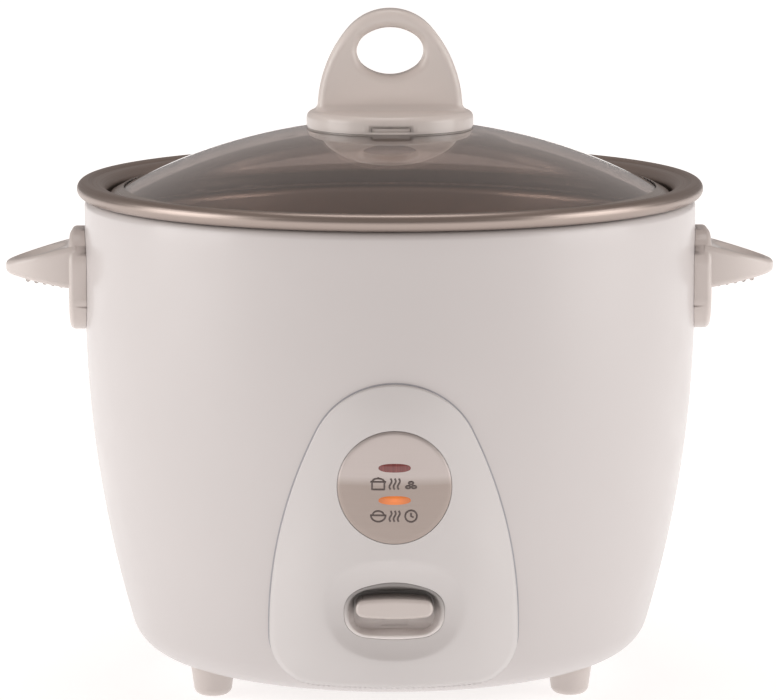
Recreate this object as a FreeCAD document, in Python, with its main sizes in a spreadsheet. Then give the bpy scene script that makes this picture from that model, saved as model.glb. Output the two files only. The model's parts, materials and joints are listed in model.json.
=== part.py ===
import FreeCAD, Part
import math
import os
from collections import namedtuple
from types import SimpleNamespace

import Sketcher
from FreeCAD import Placement, Rotation, Vector

# Electric rice cooker with a lift-out pan and a glass lid, in millimetres.
# The origin is on the table under the middle of the cooker, +Z is up and the control panel faces -Y.

DIMENSIONS = {
    # Gaps between pieces
    "contact_gap": 0.3,
    "fit_gap": 0.1,
    # Painted steel shell
    "body_radius": 111.0,
    "body_top": 176.9,
    "body_wall": 1.0,
    "taper_start": 138.0,
    "taper_radius": 420.0,
    "bottom_corner": 15.0,
    "lip_round": 3.0,
    "lip_width": 5.5,
    "base_opening": 60.0,
    # Liner that hangs from the lip
    "well_wall": 0.6,
    "well_gap": 2.0,
    "well_shoulder": 12.0,
    "well_corner": 6.0,
    "well_clearance": 3.0,
    # Feet and base plate
    "foot_height": 11.0,
    "foot_inset": 5.8,
    "foot_radius": 8.0,
    "foot_tread": 6.9,
    "foot_round": 3.0,
    "base_thickness": 1.2,
    "base_margin": 3.5,
    "slot_length": 16.0,
    "slot_width": 3.0,
    "slot_circle": 34.0,
    # Screws
    "screw_radius": 1.6,
    "screw_head": 3.2,
    "screw_head_height": 1.8,
    "screw_grip": 7.0,
    # Pan
    "pan_wall": 1.5,
    "pan_bottom": 76.0,
    "pan_corner": 14.0,
    "pan_gap": 1.0,
    "ledge_width": 6.0,
    "recess_depth": 10.7,
    "recess_round": 2.0,
    "bead_radius": 3.0,
    "bead_inset": 0.3,
    "bead_drop": 1.0,
    # Lid
    "lid_curve": 207.0,
    "lid_gap": 1.6,
    "glass_thickness": 4.0,
    "glass_hole": 2.4,
    "band_wall": 0.8,
    "band_lip": 4.6,
    "edge_gap": 1.6,
    # Lid knob
    "knob_radius": 30.3,
    "knob_base": 4.0,
    "knob_round": 2.6,
    "knob_height": 40.8,
    "knob_half_width": 26.3,
    "knob_crown": 20.0,
    "knob_thickness": 13.0,
    "knob_edge": 3.0,
    "knob_root": 3.0,
    "hole_half_width": 12.0,
    "hole_half_height": 8.7,
    "hole_end": 7.2,
    "hole_drop": 15.3,
    "vent_width": 14.0,
    "vent_height": 1.4,
    "seal_thickness": 0.8,
    "seal_inner": 8.0,
    "seal_outer": 20.0,
    "washer_radius": 9.0,
    "washer_thickness": 1.0,
    "knob_screw_length": 16.0,
    # Side handles
    "handle_plate": 5.3,
    "plate_half_width": 17.0,
    "plate_low": 128.7,
    "plate_high": 165.2,
    "plate_corner": 12.0,
    "plate_edge": 2.0,
    "wing_reach": 29.0,
    "wing_half_width": 16.0,
    "wing_crown": 11.0,
    "wing_low": 144.2,
    "wing_high": 160.4,
    "tip_low": 149.0,
    "tip_high": 153.2,
    "wing_edge": 1.8,
    "thumb_depth": 2.2,
    "thumb_length": 11.0,
    "thumb_half_width": 11.5,
    "rib_radius": 0.9,
    "rib_pitch": 3.0,
    "handle_screw_height": 137.0,
    # Front panel
    "panel_rise": 2.6,
    "panel_belly": 110.0,
    "panel_foot": 17.0,
    "panel_axis": 43.6,
    "panel_half_width": 43.2,
    "panel_crown": 29.5,
    "panel_shoulder": 36.0,
    "panel_top": 125.0,
    "panel_bottom": 18.2,
    "panel_corner": 15.0,
    "panel_edge": 1.9,
    "panel_screw_low": 28.0,
    "panel_screw_high": 116.0,
    "panel_cover": 1.2,
    # Dish and bezel round the switch
    "dish_height": 46.0,
    "dish_depth": 5.0,
    "dish_across": 60.0,
    "dish_through": 7.2,
    "dish_tall": 18.3,
    "dish_tilt": 2.0,
    "bezel_half_width": 18.2,
    "bezel_half_height": 10.6,
    "bezel_corner": 7.5,
    "bezel_back_half_width": 14.9,
    "bezel_back_half_height": 7.6,
    "bezel_back_corner": 5.0,
    "bezel_back_drop": 1.65,
    "bezel_depth": 13.5,
    "bezel_front": 1.5,
    "bezel_wall": 1.2,
    # Indicator plate and lamps
    "disc_height": 89.7,
    "disc_radius": 19.5,
    "disc_thickness": 0.8,
    "disc_proud": 0.15,
    "cook_lens_rise": 6.9,
    "warm_lens_drop": 4.3,
    "lens_half_length": 6.0,
    "lens_half_height": 1.65,
    "lens_end": 0.9,
    "lens_depth": 4.5,
    "lens_proud": 0.35,
    "holder_half_width": 13.0,
    "holder_half_height": 13.0,
    "holder_setback": 2.8,
    "holder_depth": 7.2,
    "lamp_radius": 2.5,
    "lamp_bore": 2.9,
    "board_margin": 2.0,
    "board_thickness": 1.4,
    # Cook lever
    "lever_height": 46.6,
    "cap_half_width": 13.3,
    "cap_half_height": 3.6,
    "cap_end": 3.0,
    "cap_setback": 2.2,
    "cap_edge": 1.4,
    "arm_width": 8.0,
    "arm_height": 6.0,
    "pivot_inset": 66.0,
    "pivot_height": 40.0,
    "pin_radius": 2.0,
    "pin_gap": 0.06,
    "hub_radius": 6.5,
    "toe_height": 32.7,
    "toe_length": 6.0,
    "lever_travel": 4.6,
    # Lever bracket and microswitch
    "cheek_gap": 1.3,
    "cheek_wall": 1.5,
    "tower_half_length": 6.5,
    "tower_height": 46.5,
    "bracket_foot": 14.0,
    "switch_inset": 41.0,
    "switch_half_length": 12.0,
    "switch_top": 40.0,
    "switch_bottom": 24.0,
    "switch_pin_radius": 1.4,
    "switch_pin_spread": 8.0,
    "switch_pin_height": 28.0,
    "plunger_half_width": 2.0,
    "plunger_half_length": 1.5,
    "plunger_depth": 2.5,
    "plunger_travel": 2.4,
    "tab_thickness": 0.8,
    "tab_width": 4.8,
    "tab_length": 7.0,
    # Heating plate and element
    "heater_radius": 74.0,
    "heater_thickness": 11.0,
    "heater_edge": 2.0,
    "element_circle": 50.0,
    "element_radius": 4.0,
    "element_gap_angle": 24.0,
    "terminal_radius": 2.2,
    "terminal_length": 14.0,
    "post_circle": 66.0,
    "post_radius": 4.0,
    "stud_radius": 2.0,
    "stud_length": 5.0,
    # Thermostat
    "sensor_radius": 17.8,
    "sensor_wall": 0.8,
    "sensor_height": 22.0,
    "sensor_gap": 0.6,
    "ferrite_radius": 16.4,
    "ferrite_thickness": 4.0,
    "magnet_radius": 11.5,
    "magnet_thickness": 5.0,
    "magnet_travel": 3.6,
    "rod_radius": 2.0,
    "rod_gap": 0.3,
    "collar_radius": 6.0,
    "collar_thickness": 1.8,
    "sleeve_drop": 19.7,
    "sleeve_height": 15.0,
    "sleeve_radius": 9.0,
    "sleeve_wall": 1.5,
    "sleeve_flange": 16.5,
    "sensor_spring_radius": 14.2,
    "sensor_wire": 0.7,
    "return_spring_radius": 4.5,
    "return_wire": 0.45,
    "strap_half_length": 38.0,
    "strap_half_width": 12.0,
    "strap_wall": 1.2,
    "strap_tab": 8.0,
    # Keep-warm thermostat and thermal fuse
    "warmer_radius": 7.5,
    "warmer_height": 6.0,
    "warmer_across": 27.0,
    "fuse_radius": 2.0,
    "fuse_length": 14.0,
    "fuse_across": 27.0,
    "clip_wall": 0.8,
    "clip_width": 6.0,
    "clip_half_depth": 4.0,
    "small_part_back": 26.0,
    # Power inlet
    "inlet_height": 34.0,
    "inlet_proud": 4.2,
    "inlet_half_width": 23.0,
    "inlet_half_height": 13.0,
    "inlet_corner": 4.0,
    "inlet_flange_depth": 16.0,
    "socket_half_width": 12.0,
    "socket_half_height": 8.0,
    "socket_corner": 3.0,
    "socket_depth": 18.0,
    "socket_wall": 2.5,
    "socket_floor": 4.5,
    "blade_thickness": 2.0,
    "blade_width": 4.0,
    "blade_reach": 12.0,
    "blade_tail": 6.0,
    "blade_pitch": 7.0,
    "inlet_screw_spread": 18.5,
    "inlet_screw_length": 10.0,
    # Leads inside the base
    "lead_radius": 1.2,
}

FOOT_ANGLES = {"foot_front_left": 210, "foot_front_right": 330, "foot_rear": 90}
POST_ANGLES = (45, 135, 225, 315)
PANEL_SCREW_ANGLES = (-17, 17)
HANDLE_SCREW_ANGLES = (-5, 5)
SLOT_ANGLES = range(0, 360, 45)
RIB_COUNT = 5
SENSOR_TURNS = 6
RETURN_TURNS = 5
LEFT = 1
RIGHT = -1

DOC = FreeCAD.newDocument("rice_cooker")
PIECES = []


class Size:
    """A number together with the spreadsheet expression that gives it."""

    def __init__(self, value, text):
        self.value = float(value)
        self.text = text

    @staticmethod
    def of(item):
        return item if isinstance(item, Size) else Size(item, "(%r)" % float(item))

    def joined(self, other, value, sign):
        return Size(value, "(%s %s %s)" % (self.text, sign, other.text))

    def __add__(self, other):
        other = Size.of(other)
        return self.joined(other, self.value + other.value, "+")

    def __sub__(self, other):
        other = Size.of(other)
        return self.joined(other, self.value - other.value, "-")

    def __mul__(self, other):
        other = Size.of(other)
        return self.joined(other, self.value * other.value, "*")

    def __truediv__(self, other):
        other = Size.of(other)
        return self.joined(other, self.value / other.value, "/")

    def __neg__(self):
        return Size(-self.value, "(0 - %s)" % self.text)

    def __radd__(self, other):
        return Size.of(other) + self

    def __rsub__(self, other):
        return Size.of(other) - self

    def __rmul__(self, other):
        return Size.of(other) * self


def root(item):
    """Square root of a size."""
    return Size(math.sqrt(item.value), "sqrt(%s)" % item.text)


def read_sizes():
    """Put the driving dimensions in the spreadsheet and return them by name."""
    sheet = DOC.addObject("Spreadsheet::Sheet", "Sizes")
    sizes = SimpleNamespace()
    for row, (name, value) in enumerate(DIMENSIONS.items(), 1):
        sheet.set("A%d" % row, name)
        sheet.set("B%d" % row, str(value))
        sheet.setAlias("B%d" % row, name)
        setattr(sizes, name, Size(value, "Sizes." + name))
    DOC.recompute()
    return sizes


s = read_sizes()


# Heights and radii that follow from the driving dimensions

def bottom_corner_centre():
    """Centre of the round between the shell's wall and its underside, as a radius and a height."""
    height = s.foot_height + s.bottom_corner
    rise = s.taper_start - height
    reach = s.taper_radius - s.bottom_corner
    return s.body_radius - s.taper_radius + root(reach * reach - rise * rise), height


def body_surface(height, offset=0):
    """Radius of the shell's tapered wall at a height."""
    curve = s.taper_radius + offset
    drop = s.taper_start - height
    return s.body_radius - s.taper_radius + root(curve * curve - drop * drop)


def panel_arc():
    """Radius of the front panel's upright arc, from how far it stands out at its belly and at its foot."""
    rise = s.panel_belly - s.panel_bottom
    lean = s.body_radius + s.panel_rise - body_surface(s.panel_bottom) - s.panel_foot
    return (rise * rise + lean * lean) / (2 * lean)


def panel_surface(height, offset=0):
    """Distance from the main axis to the front of the panel's face at a height."""
    curve = s.panel_curve + offset
    drop = s.panel_belly - height
    return s.body_radius + s.panel_rise - s.panel_curve + root(curve * curve - drop * drop)


def panel_reach(turn, height):
    """The same along a level line that is turned from the front by an angle."""
    radius = panel_surface(height) - s.panel_axis
    across = s.panel_axis * math.sin(math.radians(turn))
    return s.panel_axis * math.cos(math.radians(turn)) + root(radius * radius - across * across)


def dome(radius, lift=0):
    """Height of the lid's outer sphere at a radius, raised along its normal."""
    curve = s.lid_curve + lift
    return s.lid_centre + root(curve * curve - radius * radius)


s.panel_curve = panel_arc()
s.lip_inner = s.body_radius - s.lip_width
s.base_top = s.foot_height + s.body_wall + s.base_thickness
s.foot_circle = bottom_corner_centre()[0] - s.foot_inset
s.bead_height = s.body_top + s.contact_gap + s.bead_radius
s.bead_circle = s.body_radius - s.bead_inset
s.flange_top = s.bead_height + s.bead_radius - s.bead_drop
s.ledge_height = s.flange_top - s.recess_depth
s.recess_radius = s.lip_inner - s.pan_gap - s.pan_wall
s.pan_radius = s.recess_radius - s.ledge_width
s.heater_top = s.pan_bottom - s.contact_gap
s.heater_under = s.heater_top - s.heater_thickness
s.band_outer = s.recess_radius - s.lid_gap
s.glass_edge = s.band_outer - s.band_wall - s.edge_gap
s.band_bottom = s.ledge_height + s.contact_gap
s.inner_curve = s.lid_curve - s.glass_thickness
s.lid_centre = (s.band_bottom + s.band_wall + s.edge_gap
                - root(s.inner_curve * s.inner_curve - s.glass_edge * s.glass_edge))
s.lid_apex = s.lid_centre + s.lid_curve
s.knob_shelf = s.lid_apex + s.knob_base
s.knob_top = s.lid_apex + s.knob_height
s.washer_top = dome(s.washer_radius, -s.glass_thickness) - s.fit_gap
s.bezel_back = panel_surface(s.dish_height) - s.bezel_depth
s.window_back = body_surface(s.dish_height - s.bezel_half_height) - s.body_wall - s.contact_gap * 2
s.cap_back = s.bezel_back + s.bezel_wall + s.contact_gap
s.holder_front = panel_surface(s.disc_height) - s.holder_setback
s.holder_back = s.holder_front - s.holder_depth
s.pivot_back = s.body_radius - s.pivot_inset
s.switch_back = s.body_radius - s.switch_inset
s.arm_low = s.lever_height - s.arm_height / 2
s.plunger_top = s.arm_low - s.contact_gap
s.sleeve_bottom = s.heater_under - s.sleeve_drop
s.sleeve_top = s.sleeve_bottom + s.sleeve_height
s.ferrite_under = s.heater_top - s.sensor_wall - s.ferrite_thickness
s.magnet_top = s.ferrite_under - s.contact_gap - s.magnet_travel
s.magnet_under = s.magnet_top - s.magnet_thickness
s.collar_bottom = s.sleeve_bottom + s.sleeve_wall + s.contact_gap
s.collar_top = s.collar_bottom + s.collar_thickness
s.inlet_face = body_surface(s.inlet_height) + s.inlet_proud
s.socket_end = s.inlet_face - s.socket_depth
s.inlet_back = s.socket_end - s.socket_floor


# Sketch outlines

class Corner(namedtuple("Corner", "x y round arc turn", defaults=(None, None, LEFT))):
    """A point of an outline, rounded if round is set, and reached along an arc if arc is set."""


def value(item):
    return Size.of(item).value


def step(corner, other, distance):
    """Point at a distance from a corner along the upright or level line to another corner."""
    across = value(other.x) - value(corner.x)
    up = value(other.y) - value(corner.y)
    if abs(across) > abs(up):
        return corner.x + math.copysign(1, across) * distance, corner.y
    return corner.x, corner.y + math.copysign(1, up) * distance


def with_rounds(corners):
    """Replace each rounded corner by its two tangent points and the arc between them."""
    loop = []
    for index, corner in enumerate(corners):
        if corner.round is None:
            loop.append(corner)
            continue
        entry = step(corner, corners[index - 1], corner.round)
        leave = step(corner, corners[(index + 1) % len(corners)], corner.round)
        cross = ((value(corner.x) - value(entry[0])) * (value(leave[1]) - value(corner.y))
                 - (value(corner.y) - value(entry[1])) * (value(leave[0]) - value(corner.x)))
        loop.append(Corner(*entry, arc=corner.arc, turn=corner.turn))
        loop.append(Corner(*leave, arc=corner.round, turn=LEFT if cross > 0 else RIGHT))
    return loop


def backwards(path):
    """The same open path from its end to its start."""
    result = []
    arc, turn = None, LEFT
    for corner in reversed(path):
        result.append(Corner(corner.x, corner.y, arc=arc, turn=-turn))
        arc, turn = corner.arc, corner.turn
    return result


def swapped(corners):
    """The same outline with its two axes exchanged."""
    return [Corner(c.y, c.x, c.round, c.arc, -c.turn) for c in corners]


def flat_arc(start, end, radius, turn):
    """Arc in the sketch plane, counter-clockwise, under a half turn."""
    chord = end - start
    height = math.sqrt(max(radius ** 2 - (chord.Length / 2) ** 2, 0))
    side = Vector(-chord.y, chord.x, 0).normalize() * turn
    centre = (start + end) * 0.5 + side * height
    first, last = (start, end) if turn == LEFT else (end, start)
    angles = [math.atan2(p.y - centre.y, p.x - centre.x) for p in (first, last)]
    return Part.ArcOfCircle(Part.Circle(centre, Vector(0, 0, 1), radius), *angles)


def bind(item, path, amount):
    item.setExpression(path, Size.of(amount).text)


def pin(sketch, kind, geometry, point, amount):
    """Fix one coordinate of a sketch point to a size."""
    number = sketch.addConstraint(Sketcher.Constraint(kind, -1, 1, geometry, point, value(amount)))
    if isinstance(amount, Size):
        bind(sketch, "Constraints[%d]" % number, amount)


def draw(sketch, corners):
    """Draw a closed loop of lines and arcs with every corner and radius tied to the sizes."""
    loop = with_rounds(corners)
    points = [Vector(value(c.x), value(c.y), 0) for c in loop]
    ends = []
    for index, corner in enumerate(loop):
        target = loop[(index + 1) % len(loop)]
        start, end = points[index], points[(index + 1) % len(loop)]
        if target.arc is None:
            number = sketch.addGeometry(Part.LineSegment(start, end))
            ends.append((number, 1, 2))
            continue
        number = sketch.addGeometry(flat_arc(start, end, value(target.arc), target.turn))
        ends.append((number, 1, 2) if target.turn == LEFT else (number, 2, 1))
        radius = sketch.addConstraint(Sketcher.Constraint("Radius", number, value(target.arc)))
        if isinstance(target.arc, Size):
            bind(sketch, "Constraints[%d]" % radius, target.arc)
    for index, (number, first, last) in enumerate(ends):
        follower, follower_first = ends[(index + 1) % len(ends)][:2]
        sketch.addConstraint(Sketcher.Constraint("Coincident", number, last, follower, follower_first))
        pin(sketch, "DistanceX", number, first, loop[index].x)
        pin(sketch, "DistanceY", number, first, loop[index].y)


def rectangle(half_width, low, high, corner=None):
    """Upright rectangle about the middle line."""
    return [Corner(-half_width, low, corner), Corner(half_width, low, corner),
            Corner(half_width, high, corner), Corner(-half_width, high, corner)]


def oval(half_length, half_height, end, height):
    """Level oval of four tangent arcs about the middle line."""
    reach = half_length - end
    flank = (reach * reach + half_height * half_height - end * end) / (2 * (half_height - end))
    share = end / (flank - end)
    across = reach + reach * share
    up = (flank - half_height) * share
    return [Corner(across, height + up, arc=end), Corner(-across, height + up, arc=flank),
            Corner(-across, height - up, arc=end), Corner(across, height - up, arc=flank)]


def bullet(half_width, crown, shoulder, top):
    """Upright sides that lean in along large arcs to a round crown: the part above the shoulder."""
    rise = top - shoulder - crown
    side = ((half_width * half_width + rise * rise - crown * crown) / (2 * (half_width - crown)))
    share = crown / (side - crown)
    across = (side - half_width) * share
    up = top - crown + rise * share
    return [Corner(half_width, shoulder), Corner(across, up, arc=side),
            Corner(-across, up, arc=crown), Corner(-half_width, shoulder, arc=side)]


# Solids

def sketch_on(body, plane, loops, lift=0):
    """Sketch on one of a body's own planes, moved along the plane's normal."""
    support = next(item for item in body.Origin.OriginFeatures if item.Role == plane)
    sketch = body.newObject("Sketcher::SketchObject", body.Name + "_sketch")
    sketch.AttachmentSupport = (support, [""])
    sketch.MapMode = "FlatFace"
    bind(sketch, "AttachmentOffset.Base.z", lift)
    for loop in loops:
        draw(sketch, loop)
    return sketch


def turned(name, corners):
    """Body turned about the upright axis from an outline of radii and heights."""
    body = DOC.addObject("PartDesign::Body", name)
    sketch = sketch_on(body, "XZ_Plane", [corners])
    feature = body.newObject("PartDesign::Revolution", name + "_turn")
    feature.Profile = sketch
    feature.ReferenceAxis = (sketch, ["V_Axis"])
    feature.Angle = 360
    body.Tip = feature
    return body


def padded(name, plane, loops, start, length, both_ways=False):
    """Body padded from an outline; the front plane's normal points to the front."""
    body = DOC.addObject("PartDesign::Body", name)
    add_pad(body, plane, loops, start, length, both_ways)
    return body


def add_pad(body, plane, loops, start, length, both_ways=False):
    feature = body.newObject("PartDesign::Pad", body.Name + "_pad")
    feature.Profile = sketch_on(body, plane, loops, start)
    if both_ways:
        feature.SideType = "Symmetric"
    bind(feature, "Length", length)
    body.Tip = feature


def lofted(name, front, front_start, back, back_start):
    """Body between two outlines that face the front."""
    body = DOC.addObject("PartDesign::Body", name)
    feature = body.newObject("PartDesign::AdditiveLoft", name + "_loft")
    feature.Profile = sketch_on(body, "XZ_Plane", [front], front_start)
    feature.Sections = [sketch_on(body, "XZ_Plane", [back], back_start)]
    feature.Ruled = True
    body.Tip = feature
    return body


def edge_rounded(body, name, radius, chosen):
    """Fillet on the chosen edges of a body's last feature."""
    DOC.recompute()
    base = body.Tip
    names = ["Edge%d" % n for n, edge in enumerate(base.Shape.Edges, 1) if chosen(edge.BoundBox)]
    feature = body.newObject("PartDesign::Fillet", name)
    feature.Base = (base, names)
    bind(feature, "Radius", radius)
    body.Tip = feature


def place(item, at, direction):
    item.Placement = Placement(Vector(), Rotation(Vector(0, 0, 1), Vector(*direction)))
    for axis, amount in zip("xyz", at):
        bind(item, "Placement.Base." + axis, amount)


def cylinder(name, radius, length, at, direction=(0, 0, 1)):
    item = DOC.addObject("Part::Cylinder", name)
    bind(item, "Radius", radius)
    bind(item, "Height", length)
    place(item, at, direction)
    return item


def block(name, across, deep, tall):
    """Box between two limits along each axis."""
    item = DOC.addObject("Part::Box", name)
    for side, axis, (low, high) in zip(("Length", "Width", "Height"), "xyz", (across, deep, tall)):
        bind(item, side, high - low)
        bind(item, "Placement.Base." + axis, low)
    return item


def about(half):
    return -half, half


def fused(name, *items):
    item = DOC.addObject("Part::MultiFuse", name)
    item.Shapes = list(items)
    return item


def shared(name, *items):
    item = DOC.addObject("Part::MultiCommon", name)
    item.Shapes = list(items)
    return item


def cut(name, base, *tools):
    item = DOC.addObject("Part::Cut", name)
    item.Base = base
    item.Tool = tools[0] if len(tools) == 1 else fused(name + "_tools", *tools)
    return item


def group(name, items):
    """Separate solids that share one node."""
    item = DOC.addObject("Part::Compound", name)
    item.Links = list(items)
    return item


def piece(item, label):
    """Name a finished sub-part."""
    item.Label = label
    PIECES.append(item)
    return item


def screw(name, seat, direction, length):
    """Pan-head screw whose head rests at the seat and whose shank runs along the direction."""
    away = tuple(-part for part in direction)
    head = cylinder(name + "_head", s.screw_head, s.screw_head_height, seat, away)
    shank = cylinder(name + "_shank", s.screw_radius, length, seat, direction)
    return fused(name, head, shank)


def bore(name, seat, direction, length, gap):
    """Round hole for a screw's shank."""
    return cylinder(name, s.screw_radius + gap, length, seat, direction)


def around(angle, radius, height):
    """Point on a circle about the axis."""
    return math.cos(math.radians(angle)) * radius, math.sin(math.radians(angle)) * radius, height


def outwards(angle):
    return math.cos(math.radians(angle)), math.sin(math.radians(angle)), 0


# Shell, liner, base and feet

def body_path(offset):
    """The shell's outside from its underside to its lip, moved outwards by an offset."""
    corner_x, corner_z = bottom_corner_centre()
    centre_x = s.body_radius - s.taper_radius
    share = (s.taper_radius + offset) / (s.taper_radius - s.bottom_corner)
    return [
        Corner(corner_x, s.foot_height - offset),
        Corner(centre_x + (corner_x - centre_x) * share,
               s.taper_start - (s.taper_start - corner_z) * share, arc=s.bottom_corner + offset),
        Corner(s.body_radius + offset, s.taper_start, arc=s.taper_radius + offset),
        Corner(s.body_radius + offset, s.body_top - s.lip_round),
        Corner(s.body_radius - s.lip_round, s.body_top + offset, arc=s.lip_round + offset),
    ]


def body_envelope():
    """Solid inside the shell's outside, which the pieces that sit on the shell are cut by."""
    path = body_path(s.fit_gap)
    return turned("body_envelope", [Corner(0, path[0].y)] + path + [Corner(0, path[-1].y)])


def panel_screw_places():
    """Angle, height and seat radius of each panel screw."""
    heights = [(angle, s.panel_screw_low) for angle in PANEL_SCREW_ANGLES] + [(0, s.panel_screw_high)]
    return [(angle - 90, height, body_surface(height - s.screw_head) - s.body_wall - s.fit_gap)
            for angle, height in heights]


def handle_screw_seat(angle):
    height = s.handle_screw_height
    return around(angle, body_surface(height - s.screw_head) - s.body_wall - s.fit_gap, height)


def make_outer_body():
    path = body_path(0)
    inside = backwards(body_path(-s.body_wall))
    shell = turned("shell", [Corner(s.base_opening, s.foot_height)] + path
                   + [Corner(s.lip_inner, s.body_top), Corner(s.lip_inner, s.body_top - s.body_wall)]
                   + inside + [Corner(s.base_opening, s.foot_height + s.body_wall)])
    window = s.contact_gap
    tools = [
        block("lever_window", about(s.bezel_half_width + window),
              (-s.body_radius, -s.window_back),
              (s.dish_height - s.bezel_half_height - window, s.dish_height + s.bezel_half_height + window)),
        block("lamp_window", about(s.holder_half_width + window), (-s.body_radius, -s.holder_back),
              (s.disc_height - s.holder_half_height - window, s.disc_height + s.holder_half_height + window)),
        block("inlet_window", about(s.socket_half_width + s.socket_wall + window),
              (s.inlet_back, s.inlet_face),
              (s.inlet_height - s.socket_half_height - s.socket_wall - window,
               s.inlet_height + s.socket_half_height + s.socket_wall + window)),
    ]
    for number, (angle, height, seat) in enumerate(panel_screw_places()):
        tools.append(bore("panel_hole_%d" % number, around(angle, seat - s.screw_grip, height),
                          outwards(angle), s.screw_grip * 3, s.contact_gap))
    for side in (0, 180):
        for number, angle in enumerate(HANDLE_SCREW_ANGLES):
            tools.append(bore("handle_hole_%d_%d" % (side, number), handle_screw_seat(side + angle),
                              outwards(side + angle), s.screw_grip, s.contact_gap))
    for number, spread in enumerate((-s.inlet_screw_spread, s.inlet_screw_spread)):
        tools.append(bore("inlet_hole_%d" % number, (spread, s.inlet_face, s.inlet_height),
                          (0, -1, 0), s.inlet_screw_length * 2, s.contact_gap))
    tools += floor_bores("shell_floor")
    return piece(cut("outer_body", shell, *tools), "outer_body")


def floor_bores(name):
    """Holes for the foot and post screws through the shell's underside and the base plate."""
    circles = [(angle, s.foot_circle) for angle in FOOT_ANGLES.values()]
    circles += [(angle, s.post_circle) for angle in POST_ANGLES]
    return [bore("%s_%d" % (name, number), around(angle, radius, 0), (0, 0, 1), s.base_top, s.contact_gap)
            for number, (angle, radius) in enumerate(circles)]


def make_pan_well():
    """Flanged liner: wide round the pan's recess, narrower below, turned in round the heating plate."""
    wall = s.well_wall
    wide = s.lip_inner
    narrow = s.pan_radius + s.pan_wall + s.well_gap
    top = s.body_top - s.body_wall - s.fit_gap
    shoulder = top - s.well_shoulder
    slope_end = shoulder - (wide - narrow)
    floor = s.heater_under - wall
    hole = s.heater_radius + s.well_clearance
    corner = s.well_corner
    return piece(turned("pan_well", [
        Corner(hole, floor), Corner(narrow + wall, floor, corner + wall),
        Corner(narrow + wall, slope_end), Corner(wide + wall, shoulder),
        Corner(wide + wall, top - wall), Corner(s.body_radius - s.lip_round, top - wall),
        Corner(s.body_radius - s.lip_round, top), Corner(wide, top),
        Corner(wide, shoulder), Corner(narrow, slope_end),
        Corner(narrow, floor + wall, corner), Corner(hole, floor + wall)]), "pan_well")


def make_base():
    floor = s.foot_height + s.body_wall
    disc = cylinder("base_disc", s.foot_circle + s.base_margin, s.base_thickness, (0, 0, floor))
    slots = []
    for angle in SLOT_ANGLES:
        slot = DOC.addObject("Part::Box", "vent_slot_%d" % angle)
        bind(slot, "Length", s.slot_length)
        bind(slot, "Width", s.slot_width)
        bind(slot, "Height", s.base_top)
        turn = math.radians(angle)
        slot.Placement = Placement(Vector(), Rotation(Vector(0, 0, 1), angle))
        inner = s.slot_circle - s.slot_length / 2
        bind(slot, "Placement.Base.x", math.cos(turn) * inner + math.sin(turn) * s.slot_width / 2)
        bind(slot, "Placement.Base.y", math.sin(turn) * inner - math.cos(turn) * s.slot_width / 2)
        slots.append(slot)
    piece(cut("base_plate", disc, *slots, *floor_bores("base_floor")), "base_plate")


def make_feet():
    screws = []
    length = s.base_top - s.foot_height + s.screw_grip
    for name, angle in FOOT_ANGLES.items():
        x, y, z = around(angle, s.foot_circle, 0)
        foot = turned(name + "_turned", [
            Corner(0, 0), Corner(s.foot_tread - s.foot_round, 0),
            Corner(s.foot_tread, s.foot_round, arc=s.foot_round),
            Corner(s.foot_radius, s.foot_height), Corner(0, s.foot_height)])
        bind(foot, "Placement.Base.x", x)
        bind(foot, "Placement.Base.y", y)
        hole = bore(name + "_bore", (x, y, s.base_top - length - s.fit_gap), (0, 0, 1), length, s.pin_gap)
        piece(cut(name, foot, hole), name)
        screws.append(screw(name + "_screw", (x, y, s.base_top), (0, 0, -1), length))
    piece(group("foot_screws", screws), "foot_screws")


# Side handles

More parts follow.
